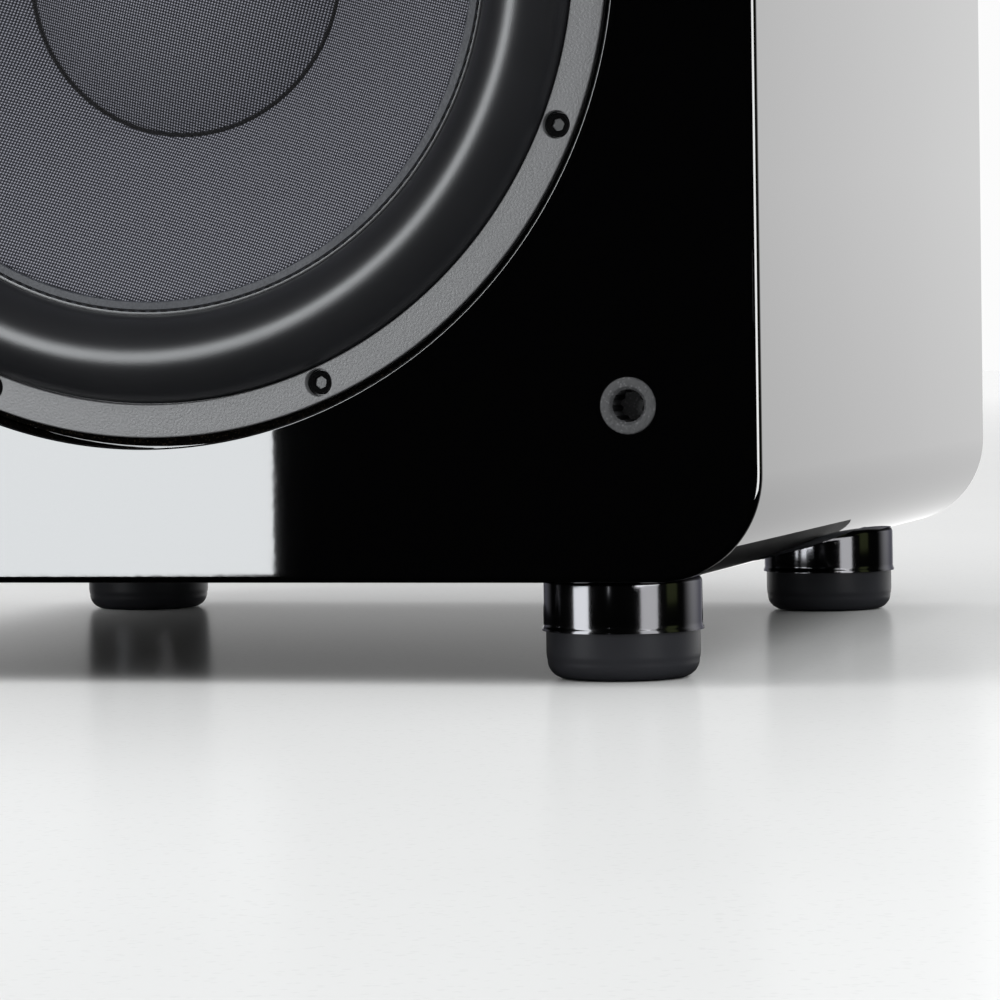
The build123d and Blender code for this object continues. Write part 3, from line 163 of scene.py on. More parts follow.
class SUBWOOFER_PG_driver(bpy.types.PropertyGroup):
    ring_colour: bpy.props.FloatVectorProperty(
        name="Ring Colour", description="Paint of the trim ring", subtype="COLOR",
        size=3, min=0, max=1, default=(0.164, 0.166, 0.172),
    )
    thread_pitch: bpy.props.FloatProperty(
        name="Thread Pitch", description="Distance between neighbouring threads of the cone's cloth",
        default=0.00074, min=0.0003, max=0.01, unit="LENGTH", subtype="DISTANCE",
    )
    stitch_pitch: bpy.props.FloatProperty(
        name="Stitch Pitch", description="Distance from one edge stitch to the next",
        default=0.0041, min=0.001, max=0.02, unit="LENGTH", subtype="DISTANCE",
    )
    roll_sectors: bpy.props.IntProperty(
        name="Roll Sectors", description="How many pieces the flexing rubber roll is divided into",
        default=32, min=8, max=64,
    )


class SUBWOOFER_PG_feet(bpy.types.PropertyGroup):
    rubber_colour: bpy.props.FloatVectorProperty(
        name="Rubber Colour", description="Colour of the foot pads", subtype="COLOR",
        size=3, min=0, max=1, default=(0.034, 0.035, 0.041),
    )
    collar_colour: bpy.props.FloatVectorProperty(
        name="Collar Colour", description="Tint of the black chrome collars", subtype="COLOR",
        size=3, min=0, max=1, default=(0.15, 0.15, 0.158),
    )


class SUBWOOFER_PG_back(bpy.types.PropertyGroup):
    plate_colour: bpy.props.FloatVectorProperty(
        name="Plate Colour", description="Paint of the amplifier plate", subtype="COLOR",
        size=3, min=0, max=1, default=(0.03, 0.03, 0.032),
    )
    knob_grooves: bpy.props.IntProperty(
        name="Knob Grooves", description="Grooves round each control knob",
        default=24, min=8, max=60,
    )


# ---------------------------------------------------------------- shared shader groups
def node(tree, kind, settings=None, **inputs):
    """Add a node, set its options, and fill or link its inputs by name, or by number as in i2."""
    made = tree.nodes.new(kind)
    for key, value in (settings or {}).items():
        setattr(made, key, value)
    for key, value in inputs.items():
        numbered = key[0] == "i" and key[1:].isdigit()
        socket = made.inputs[int(key[1:]) if numbered else key.replace("_", " ")]
        if isinstance(value, bpy.types.NodeSocket):
            tree.links.new(value, socket)
        else:
            socket.default_value = value
    return made


def maths(tree, operation, *values):
    """A Math node's result."""
    inputs = {f"i{n}": value for n, value in enumerate(values)}
    return node(tree, "ShaderNodeMath", {"operation": operation}, **inputs).outputs[0]


def clamped(tree, value):
    """The value kept between 0 and 1."""
    return maths(tree, "MINIMUM", maths(tree, "MAXIMUM", value, 0.0), 1.0)


def shared_group(name, results, **sizes):
    """Build a node group once: it takes a Vector and the sizes and gives the results as values."""

    def keep(build):
        def get():
            if name in bpy.data.node_groups:
                return bpy.data.node_groups[name]
            tree = bpy.data.node_groups.new(name, "ShaderNodeTree")
            add = tree.interface.new_socket
            add(name="Vector", in_out="INPUT", socket_type="NodeSocketVector")
            for label, size in sizes.items():
                socket = add(name=label, in_out="INPUT", socket_type="NodeSocketFloat")
                socket.default_value = size
            for label in results:
                add(name=label, in_out="OUTPUT", socket_type="NodeSocketFloat")
            given = tree.nodes.new("NodeGroupInput").outputs
            out = tree.nodes.new("NodeGroupOutput")
            for label, value in zip(results, build(tree, given)):
                tree.links.new(value, out.inputs[label])
            return tree

        return get

    return keep


def pattern(tree, kind, given, scale, **inputs):
    """A texture node of a kind on the group's own Vector."""
    return node(tree, f"ShaderNodeTex{kind}", Vector=given["Vector"], Scale=scale, **inputs)


@shared_group("Fine Grain", ("Height", "Cloud"), Size=0.001)
def group_grain(tree, given):
    """Fine even grain, as on satin paint, cast rubber and moulded plastic."""
    scale = maths(tree, "DIVIDE", 1.0, given["Size"])
    wide = maths(tree, "MULTIPLY", scale, 0.02)
    fine = pattern(tree, "Noise", given, scale, Detail=2.0, Roughness=0.6)
    cloud = pattern(tree, "Noise", given, wide, Detail=3.0)
    return fine.outputs[0], cloud.outputs[0]


@shared_group("Speckle", ("Mask",), Size=0.001, Amount=0.3)
def group_speckle(tree, given):
    """Scattered bright flecks of uneven size."""
    scale = maths(tree, "DIVIDE", 1.0, given["Size"])
    cells = pattern(tree, "Voronoi", given, scale)
    wobble = pattern(tree, "Noise", given, scale, Detail=1.0)
    reach = maths(tree, "MULTIPLY", given["Amount"], wobble.outputs[0])
    edge = maths(tree, "SUBTRACT", reach, cells.outputs["Distance"])
    return (clamped(tree, maths(tree, "MULTIPLY", edge, 6.0)),)


@shared_group("Plain Weave", ("Height", "Gap", "Thread"), Pitch=0.0015)
def group_weave(tree, given):
    """Plain woven cloth seen square on: threads along two directions, over and under in turn."""
    axes = node(tree, "ShaderNodeSeparateXYZ", Vector=given["Vector"])
    wave = []
    cell = []
    for axis in ("X", "Y"):
        along = maths(tree, "DIVIDE", axes.outputs[axis], given["Pitch"])
        turn = maths(tree, "MULTIPLY", along, pi)
        wave.append(maths(tree, "ABSOLUTE", maths(tree, "SINE", turn)))
        cell.append(maths(tree, "FLOOR", along))
    odd = maths(tree, "PINGPONG", maths(tree, "ADD", *cell), 1.0)
    threads = [maths(tree, "POWER", side, 0.6) for side in wave]
    raised = []
    for thread, crossing in zip(threads, reversed(wave)):
        rise = maths(tree, "ADD", 0.45, maths(tree, "MULTIPLY", crossing, 0.55))
        raised.append(maths(tree, "MULTIPLY", thread, rise))
    height = node(tree, "ShaderNodeMix", {"data_type": "FLOAT"}, i0=odd, i2=raised[0], i3=raised[1])
    return height.outputs[0], maths(tree, "MULTIPLY", *threads), odd


@shared_group("Handling Marks", ("Marks", "Dust"), Size=0.08)
def group_handling(tree, given):
    """Faint uneven dust and wiping marks, from 0 where the surface is clean to 1."""
    scale = maths(tree, "DIVIDE", 1.0, given["Size"])
    cloud = pattern(tree, "Noise", given, scale, Detail=5.0, Roughness=0.62)
    dots = pattern(tree, "Voronoi", given, maths(tree, "MULTIPLY", scale, 60.0))
    near = maths(tree, "SUBTRACT", 0.13, dots.outputs["Distance"])
    speck = clamped(tree, maths(tree, "MULTIPLY", near, 9.0))
    return cloud.outputs[0], maths(tree, "MULTIPLY", speck, cloud.outputs[0])


# ---------------------------------------------------------------- materials
class Finish:
    """One material with a Principled BSDF; plain numbers go on its own sockets."""

    def __init__(self, name, **sockets):
        self.material = bpy.data.materials.new(name)
        self.material.use_nodes = True
        self.tree = self.material.node_tree
        self.bsdf = self.tree.nodes["Principled BSDF"]
        self.place = self.tree.nodes.new("ShaderNodeTexCoord").outputs["Object"]
        for key, value in sockets.items():
            self.bsdf.inputs[key.replace("_", " ")].default_value = value

    def group(self, tree, **inputs):
        """A shared group's outputs, on Object coordinates unless a Vector is given."""
        made = self.tree.nodes.new("ShaderNodeGroup")
        made.node_tree = tree
        self.tree.links.new(inputs.pop("Vector", self.place), made.inputs["Vector"])
        for key, value in inputs.items():
            made.inputs[key].default_value = value
        return made.outputs

    def between(self, mask, low, high):
        """A number from low to high as the mask goes from 0 to 1."""
        return node(self.tree, "ShaderNodeMapRange", Value=mask, To_Min=low, To_Max=high).outputs[0]

    def tint(self, mask, first, second):
        """A colour between the first and the second."""
        mix = node(self.tree, "ShaderNodeMix", {"data_type": "RGBA"}, i0=mask)
        for number, colour in ((6, first), (7, second)):
            if isinstance(colour, bpy.types.NodeSocket):
                self.tree.links.new(colour, mix.inputs[number])
            else:
                mix.inputs[number].default_value = (*colour[:3], 1)
        return mix.outputs[2]

    def feed(self, socket, value):
        """Link a value to one of the shader's sockets."""
        self.tree.links.new(value, self.bsdf.inputs[socket])

    def bump(self, height, distance):
        """Relief of a depth in metres, over any relief that is there already."""
        made = node(self.tree, "ShaderNodeBump", Height=height, Distance=distance, Strength=1.0)
        last = self.bsdf.inputs["Normal"]
        if last.is_linked:
            self.tree.links.new(last.links[0].from_socket, made.inputs["Normal"])
        self.tree.links.new(made.outputs[0], last)


def finish_once(name):
    """Reuse a material that was made before."""

    def keep(build):
        def get(*given):
            if name not in bpy.data.materials:
                build(name, *given)
            return bpy.data.materials[name]

        return get

    return keep


def scaled(colour, factor):
    """A darker or lighter colour."""
    return tuple(c * factor for c in colour[:3])


def grained(name, colour, roughness, grain, depth, metallic=0.0):
    """A finish with fine relief, faint clouding of its colour and uneven gloss."""
    made = Finish(name, Metallic=metallic)
    fine = made.group(group_grain(), Size=grain)
    marks = made.group(group_handling(), Size=0.05)
    base = made.tint(fine["Cloud"], scaled(colour, 0.75), scaled(colour, 1.25))
    dust = tuple(min(1.0, c * 1.6 + 0.02) for c in colour[:3])
    made.feed("Base Color", made.tint(marks["Dust"], base, dust))
    rough = made.between(marks["Marks"], roughness * 0.82, min(1.0, roughness * 1.18))
    made.feed("Roughness", rough)
    made.bump(fine["Height"], depth)
    return made


@finish_once("Black Lacquer")
def black_lacquer(name, colour):
    made = Finish(name, IOR=1.5)
    marks = made.group(group_handling(), Size=0.12)
    made.feed("Base Color", made.tint(marks["Dust"], colour, (0.004, 0.004, 0.0045)))
    made.feed("Roughness", made.between(marks["Marks"], 0.0, 0.035))
    wave = node(made.tree, "ShaderNodeTexNoise", Vector=made.place, Scale=9.0, Detail=0.0)
    made.bump(wave.outputs[0], 0.00006)
    peel = node(made.tree, "ShaderNodeTexNoise", Vector=made.place, Scale=240.0, Detail=1.0)
    made.bump(peel.outputs[0], 0.0000012)


@finish_once("Grey Ring Paint")
def ring_paint(name, colour):
    made = Finish(name, IOR=1.45)
    fine = made.group(group_grain(), Size=0.0009)
    coarse = made.group(group_grain(), Size=0.0026)
    base = made.tint(fine["Height"], scaled(colour, 0.72), scaled(colour, 1.3))
    base = made.tint(coarse["Height"], base, scaled(colour, 1.05))
    made.feed("Base Color", made.tint(fine["Cloud"], base, scaled(colour, 1.1)))
    made.feed("Roughness", made.between(fine["Height"], 0.32, 0.46))
    made.bump(fine["Height"], 0.0001)


@finish_once("Roll Rubber")
def roll_rubber(name):
    made = Finish(name, IOR=1.48)
    fine = made.group(group_grain(), Size=0.0006)
    marks = made.group(group_handling(), Size=0.07)
    base = made.tint(fine["Cloud"], (0.013, 0.0135, 0.0155), (0.019, 0.0195, 0.022))
    made.feed("Base Color", made.tint(marks["Dust"], base, (0.02, 0.02, 0.023)))
    made.feed("Roughness", made.between(marks["Marks"], 0.28, 0.36))
    made.bump(fine["Height"], 0.000025)


@finish_once("Edge Band Rubber")
def band_rubber(name):
    made = Finish(name, IOR=1.45)
    fine = made.group(group_grain(), Size=0.0009)
    base = made.tint(fine["Height"], (0.016, 0.018, 0.024), (0.075, 0.08, 0.098))
    made.feed("Base Color", base)
    made.feed("Roughness", made.between(fine["Cloud"], 0.42, 0.6))
    made.bump(fine["Height"], 0.00012)


@finish_once("Foot Pad Rubber")
def pad_rubber(name, colour):
    made = Finish(name, IOR=1.3)
    fine = made.group(group_grain(), Size=0.0007)
    marks = made.group(group_handling(), Size=0.04)
    base = made.tint(fine["Cloud"], scaled(colour, 0.8), scaled(colour, 1.2))
    made.feed("Base Color", made.tint(marks["Dust"], base, (0.06, 0.06, 0.062)))
    made.feed("Roughness", made.between(marks["Marks"], 0.36, 0.5))
    made.bump(fine["Height"], 0.00003)


@finish_once("Socket Rubber")
def socket_rubber(name):
    made = Finish(name, IOR=1.45)
    fine = made.group(group_grain(), Size=0.0011)
    fleck = made.group(group_speckle(), Size=0.0013, Amount=0.7)
    base = made.tint(fine["Height"], (0.035, 0.036, 0.038), (0.075, 0.076, 0.08))
    made.feed("Base Color", made.tint(fleck["Mask"], base, (0.1, 0.1, 0.105)))
    made.feed("Roughness", made.between(fine["Height"], 0.45, 0.7))
    made.bump(fine["Height"], 0.00025)


@finish_once("Woven Cone Cloth")
def woven_cloth(name, pitch):
    made = Finish(name, IOR=1.5, Sheen_Weight=0.15, Sheen_Roughness=0.4)
    turned = node(made.tree, "ShaderNodeMapping", Vector=made.place)
    turned.inputs["Rotation"].default_value = (radians(90), 0, radians(28))
    weave = made.group(group_weave(), Vector=turned.outputs[0], Pitch=pitch)
    fine = made.group(group_grain(), Size=0.0009)
    # painted highlight: the threads running one way are painted several times lighter than those
    # running the other, as if only they caught the light
    dull = made.tint(weave["Thread"], (0.022, 0.023, 0.032), (0.32, 0.325, 0.39))
    bright = made.tint(weave["Thread"], (0.05, 0.052, 0.066), (0.46, 0.47, 0.54))
    painted_thread_sheen = made.tint(fine["Height"], dull, bright)
    # painted shade: the lines between the threads are painted near-black
    made.feed("Base Color", made.tint(weave["Gap"], (0.004, 0.004, 0.006), painted_thread_sheen))
    made.feed("Roughness", made.between(weave["Height"], 0.75, 0.45))
    made.bump(weave["Height"], 0.0002)


@finish_once("Edge Thread")
def edge_thread(name):
    made = Finish(name, IOR=1.45, Sheen_Weight=0.2)
    twist = node(
        made.tree, "ShaderNodeTexWave", Vector=made.place, Scale=900.0, Distortion=1.5, Detail=1.0
    )
    made.feed("Base Color", made.tint(twist.outputs[0], (0.003, 0.003, 0.004), (0.016, 0.016, 0.02)))
    made.feed("Roughness", made.between(twist.outputs[0], 0.8, 0.55))
    made.bump(twist.outputs[0], 0.0001)


@finish_once("Speckled Foam")
def speckled_foam(name):
    made = Finish(name, IOR=1.35)
    fine = made.group(group_grain(), Size=0.0008)
    fleck = made.group(group_speckle(), Size=0.001, Amount=0.7)
    base = made.tint(fine["Height"], (0.002, 0.0018, 0.0016), (0.01, 0.008, 0.006))
    made.feed("Base Color", made.tint(fleck["Mask"], base, (0.07, 0.05, 0.032)))
    made.feed("Roughness", made.between(fine["Height"], 0.75, 0.95))
    made.bump(fine["Height"], 0.0005)


@finish_once("Black Chrome")
def black_chrome(name, colour):
    made = Finish(name, Metallic=1.0, Specular_Tint=(0.3, 0.3, 0.32, 1))
    marks = made.group(group_handling(), Size=0.03)
    fine = made.group(group_grain(), Size=0.004)
    base = made.tint(fine["Cloud"], scaled(colour, 0.94), scaled(colour, 1.04))
    made.feed("Base Color", base)
    made.feed("Roughness", made.between(marks["Marks"], 0.07, 0.19))
    made.bump(fine["Height"], 0.000006)


def brushed(name, colour, roughness, axis):
    """Metal with fine drawn lines along one axis."""
    made = Finish(name, Metallic=1.0)
    stretch = [12.0 if axis == own else 900.0 for own in "XYZ"]
    drawn = node(made.tree, "ShaderNodeMapping", Vector=made.place)
    drawn.inputs["Scale"].default_value = stretch
    lines = node(made.tree, "ShaderNodeTexNoise", Vector=drawn.outputs[0], Scale=1.0, Detail=2.0)
    made.feed("Base Color", made.tint(lines.outputs[0], scaled(colour, 0.85), colour))
    made.feed("Roughness", made.between(lines.outputs[0], roughness * 0.7, roughness * 1.3))
    made.bump(lines.outputs[0], 0.00001)


@finish_once("Lamp Lens")
def lamp_lens(name):
    made = Finish(name, IOR=1.49, Transmission_Weight=0.6)
    fine = made.group(group_grain(), Size=0.001)
    made.feed("Base Color", made.tint(fine["Cloud"], (0.25, 0.5, 0.95), (0.35, 0.6, 1.0)))
    made.feed("Roughness", made.between(fine["Height"], 0.12, 0.25))


@finish_once("Bare Board")
def bare_board(name):
    made = Finish(name, IOR=1.4)
    grain = node(made.tree, "ShaderNodeTexNoise", Vector=made.place, Scale=160.0, Detail=4.0)
    made.feed("Base Color", made.tint(grain.outputs[0], (0.3, 0.2, 0.12), (0.5, 0.36, 0.23)))
    made.feed("Roughness", made.between(grain.outputs[0], 0.7, 0.9))
    made.bump(grain.outputs[0], 0.0003)


@finish_once("Satin Studio Floor")
def studio_floor(name, colour):
    made = Finish(
        name, Specular_IOR_Level=0.0, Coat_Weight=0.33, Coat_Roughness=0.22, Coat_IOR=1.45,
        Emission_Strength=1.0,
    )
    fine = made.group(group_grain(), Size=0.003)
    fleck = made.group(group_speckle(), Size=0.0035, Amount=0.6)
    base = made.tint(fine["Cloud"], scaled(colour, 0.98), scaled(colour, 1.015))
    made.feed("Base Color", made.tint(fleck["Mask"], base, scaled(colour, 0.955)))
    made.feed("Roughness", made.between(fine["Cloud"], 0.5, 0.6))
    # far from the object the floor glows more and more, painted light that brightens it until it meets
    # the surrounding light
    reach = node(made.tree, "ShaderNodeVectorMath", {"operation": "LENGTH"}, Vector=made.place)
    far = node(
        made.tree, "ShaderNodeMapRange", Value=reach.outputs["Value"], From_Min=1.0, From_Max=7.0
    ).outputs[0]
    made.feed("Emission Color", made.tint(far, (0.0, 0.0, 0.0), (0.3, 0.3, 0.3)))
    made.bump(fine["Height"], 0.00004)


# colour, roughness, size of grain, depth of relief and metallic of the plainer finishes
PLAIN_FINISHES = {
    "Back Paint": ((0.012, 0.012, 0.013), 0.42, 0.0011, 0.00012, 0.0),
    "Cast Black Paint": ((0.012, 0.012, 0.013), 0.5, 0.0009, 0.00008, 0.0),
    "Black Oxide Steel": ((0.006, 0.006, 0.0065), 0.26, 0.0005, 0.00002, 0.0),
    "Black Anodised": ((0.018, 0.018, 0.02), 0.36, 0.0004, 0.00001, 0.75),
    "Soft Knob Plastic": ((0.014, 0.014, 0.015), 0.46, 0.0005, 0.00004, 0.0),
    "Moulded Black Plastic": ((0.016, 0.016, 0.017), 0.32, 0.0007, 0.00004, 0.0),
    "Print White": ((0.62, 0.63, 0.64), 0.5, 0.0006, 0.00001, 0.0),
    "Jack Red": ((0.45, 0.02, 0.015), 0.35, 0.0006, 0.00002, 0.0),
    "Jack White": ((0.7, 0.7, 0.68), 0.35, 0.0006, 0.00002, 0.0),
    "Wadding": ((0.7, 0.7, 0.68), 0.95, 0.004, 0.002, 0.0),
    "Ferrite": ((0.05, 0.05, 0.053), 0.6, 0.0008, 0.0001, 0.0),
    "Spider Cloth": ((0.45, 0.33, 0.14), 0.85, 0.0008, 0.0002, 0.0),
    "Board Green": ((0.02, 0.13, 0.05), 0.4, 0.002, 0.00002, 0.0),
    "Can Sleeve": ((0.02, 0.03, 0.09), 0.3, 0.002, 0.00001, 0.0),
    "Yellow Wrap": ((0.65, 0.42, 0.06), 0.35, 0.002, 0.00005, 0.0),
    "Cable Jacket": ((0.03, 0.03, 0.03), 0.5, 0.0006, 0.00003, 0.0),
    # near-black painted shade, for the grips deep in the socket bores and for the floor's shade under
    # the cabinet
    "Bore Dark": ((0.006, 0.006, 0.0065), 0.6, 0.0006, 0.0001, 0.0),
}
# colour, roughness and the axis that the drawn lines run along
METALS = {
    "Zinc Steel": ((0.58, 0.58, 0.6), 0.3, "Z"),
    "Nickel": ((0.72, 0.7, 0.66), 0.16, "Y"),
    "Foil": ((0.65, 0.65, 0.66), 0.3, "Y"),
    "Copper Winding": ((0.7, 0.32, 0.16), 0.35, "Y"),
}


def finish(name):
    """A plainer finish or metal by its name."""
    if name not in bpy.data.materials:
        if name in METALS:
            brushed(name, *METALS[name])
        else:
            grained(name, *PLAIN_FINISHES[name])
    return bpy.data.materials[name]


# ---------------------------------------------------------------- shaping
def even_normals(piece):
    """Shade flat faces flat up to their rounded edges."""
    even = piece.modifiers.new("Even Normals", "WEIGHTED_NORMAL")
    even.keep_sharp = True


def add_piece(name, bm, place, body, material, replaces=(), sharp=32.0, weighted=False):
    """Turn millimetres in a local frame into a finished piece that rides on a body."""
    bm.transform(place @ Matrix.Scale(MM, 4))
    mesh = bpy.data.meshes.new(name)
    bm.to_mesh(mesh)
    bm.free()
    mesh.polygons.foreach_set("use_smooth", [True] * len(mesh.polygons))
    mesh.set_sharp_from_angle(angle=radians(sharp))
    mesh.materials.append(material)
    piece = bpy.data.objects.new(name, mesh)
    bpy.context.scene.collection.objects.link(piece)
    if weighted:
        even_normals(piece)
    if body:
        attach(piece, body)
    if replaces:
        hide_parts(*replaces)
    return piece


def circle_centre(first, second, third):
    """Centre of the circle through three points of a plane."""
    (x1, y1), (x2, y2), (x3, y3) = first, second, third
    a = 2 * (x1 * (y2 - y3) - y1 * (x2 - x3) + x2 * y3 - x3 * y2)
    s1, s2, s3 = x1**2 + y1**2, x2**2 + y2**2, x3**2 + y3**2
    x = (s1 * (y2 - y3) + s2 * (y3 - y1) + s3 * (y1 - y2)) / a
    y = (s1 * (x3 - x2) + s2 * (x1 - x3) + s3 * (x2 - x1)) / a
    return x, y


def draw(bm, moves):
    """Draw an outline in the XZ plane.

    A move is a point, or (a point on the way, the end, steps) for an arc.
    """
    first = last = bm.verts.new((moves[0][0], 0, moves[0][1]))
    for move in moves[1:]:
        if len(move) == 2:
            vert = bm.verts.new((move[0], 0, move[1]))
            bm.edges.new((last, vert))
            last = vert
            continue
        way, end, steps = move
        start = (last.co.x, last.co.z)
        cx, cz = circle_centre(start, way, end)
        angles = [atan2(z - cz, x - cx) for x, z in (start, way, end)]
        sweep = (angles[2] - angles[0]) % (2 * pi)
        if (angles[1] - angles[0]) % (2 * pi) > sweep:
            sweep -= 2 * pi
        made = bmesh.ops.spin(
            bm, geom=[last], cent=(cx, 0, cz), axis=(0, 1, 0), dvec=(0, 0, 0), angle=-sweep,
            steps=steps,
        )
        last = next(g for g in made["geom_last"] if isinstance(g, bmesh.types.BMVert))
    return first, last


def turned(moves, steps=96, rings=(), closed=True):
    """Turn an outline of (radius, height) about the local z axis, then round some of its edges.

    Each of the rings to round is (radius, height, size).
    """
    bm = bmesh.new()
    first, last = draw(bm, moves)
    if closed:
        bm.edges.new((last, first))
    bmesh.ops.spin(
        bm, geom=bm.verts[:] + bm.edges[:], cent=(0, 0, 0), axis=(0, 0, 1), dvec=(0, 0, 0),
        angle=2 * pi, steps=steps, use_merge=True,
    )
    bmesh.ops.remove_doubles(bm, verts=bm.verts[:], dist=1e-4)
    bmesh.ops.dissolve_degenerate(bm, dist=1e-4, edges=bm.edges[:])
    bmesh.ops.recalc_face_normals(bm, faces=bm.faces[:])
    for radius, height, size in rings:
        round_edges(
            bm, size,
            lambda co: abs(hypot(co.x, co.y) - radius) < 1e-3 and abs(co.z - height) < 1e-3,
        )
    return bm


def bevel(bm, edges, size, segments, clamp):
    """Round the edges with a radius of the given size."""
    bmesh.ops.bevel(
        bm, geom=edges, offset=size, offset_type="OFFSET", segments=segments, profile=0.5,
        affect="EDGES", clamp_overlap=clamp, material=-1,
    )


def round_edges(bm, size, chosen):
    """Round every edge whose two ends are chosen."""
    edges = [e for e in bm.edges if all(chosen(v.co) for v in e.verts)]
    bevel(bm, edges, size, 4, True)


def round_upright_edges(bm, size, segments):
    """Round the edges that run along the local z axis."""
    edges = [e for e in bm.edges if abs(e.verts[0].co.z - e.verts[1].co.z) > 1e-3]
    bevel(bm, edges, size, segments, False)


def block(size, centre=(0, 0, 0)):
    """A plain box."""
    bm = bmesh.new()
    bmesh.ops.create_cube(bm, size=1)
    bmesh.ops.scale(bm, vec=size, verts=bm.verts[:])
    bmesh.ops.translate(bm, vec=centre, verts=bm.verts[:])
    return bm


def rounded_block(size, centre, corner, edge, segments):
    """A box with rounded upright edges and softer end edges."""
    bm = block(size)
    round_upright_edges(bm, corner, segments)
    top = size[2] / 2
    for height in (-top, top):
        round_edges(bm, edge, lambda co: abs(co.z - height) < 1e-4)
    bmesh.ops.translate(bm, vec=centre, verts=bm.verts[:])
    return bm


def copies(source, places):
    """The same shape at several places, in one bmesh."""
    mesh = bpy.data.meshes.new("copy source")
    source.to_mesh(mesh)
    source.free()
    bm = bmesh.new()
    for place in places:
        one = mesh.copy()
        one.transform(place)
        bm.from_mesh(one)
        bpy.data.meshes.remove(one)
    bpy.data.meshes.remove(mesh)
    return bm


def merge(*shapes):
    """Several shapes in one bmesh."""
    bm = bmesh.new()
    for shape in shapes:
        mesh = bpy.data.meshes.new("part")
        shape.to_mesh(mesh)
        shape.free()
        bm.from_mesh(mesh)
        bpy.data.meshes.remove(mesh)
    return bm


def carve(bm, *cutters):
    """Take the cutters away from the shape."""
    scene = bpy.context.scene.collection.objects
    body = bpy.data.objects.new("carved", bpy.data.meshes.new("carved"))
    bm.to_mesh(body.data)
    bm.free()
    scene.link(body)
    tools = []
    for cutter in cutters:
        tool = bpy.data.objects.new("cutter", bpy.data.meshes.new("cutter"))
        cutter.to_mesh(tool.data)
        cutter.free()
        scene.link(tool)
        cut = body.modifiers.new("Cut", "BOOLEAN")
        cut.operation, cut.solver, cut.object = "DIFFERENCE", "EXACT", tool
        tools.append(tool)
    graph = bpy.context.evaluated_depsgraph_get()
    result = bmesh.new()
    result.from_mesh(body.evaluated_get(graph).data)
    for used in (body, *tools):
        mesh = used.data
        bpy.data.objects.remove(used)
        bpy.data.meshes.remove(mesh)
    return result


def around(radius, count, first):
    """Places on a circle about the local z axis, turned to face outwards."""
    out = Matrix.Translation((radius, 0, 0))
    return [Matrix.Rotation(radians(first) + 2 * pi * i / count, 4, "Z") @ out for i in range(count)]


def at(points):
    """Places at points of the local xy plane."""
    return [Matrix.Translation((x, y, 0)) for x, y in points]


def on_back(u, v):
    """A place on the amplifier plate, u and v in mm."""
    return REAR @ Matrix.Translation(Vector((u, v, 0)) * MM)


def show_cards(piece, *cards):
    """Let a piece reflect the bright cards, which light nothing else."""
    for card in cards:
        bpy.data.collections[card].objects.link(piece)


def dress(node_name, material):
    """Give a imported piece, shown as it is, its finish."""
    packed = frame["nodes"][node_name]
    for held in packed.material_slots:
        held.material = material


def refine(node_name, piece_name, material, body="cabinet", bevel=0.0, sharp=30.0):
    """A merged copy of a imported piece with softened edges."""
    bm = bmesh.new()
    bm.from_mesh(frame["nodes"][node_name].data)
    bmesh.ops.remove_doubles(bm, verts=bm.verts[:], dist=2e-6)
    bmesh.ops.dissolve_limit(bm, angle_limit=radians(0.5), verts=bm.verts[:], edges=bm.edges[:])
    piece = add_piece(
        piece_name, bm, Matrix.Scale(1 / MM, 4), body, material, (node_name,), sharp
    )
    if bevel:
        soft = piece.modifiers.new("Soft Edges", "BEVEL")
        soft.width, soft.segments, soft.limit_method = bevel * MM, 2, "ANGLE"
        soft.angle_limit = radians(40)
        soft.use_clamp_overlap = True
        even_normals(piece)
    return piece


def cone_depth(radius):
    """Depth of the cone's front at a radius, on the arc through its rim, middle and neck."""
    cx, cy = circle_centre((CONE_R, EDGE_BACK), CONE_MIDDLE, CONE_NECK)
    x, y = CONE_MIDDLE
    side = 1 if y > cy else -1
    return cy + side * sqrt(hypot(x - cx, y - cy) ** 2 - (radius - cx) ** 2)


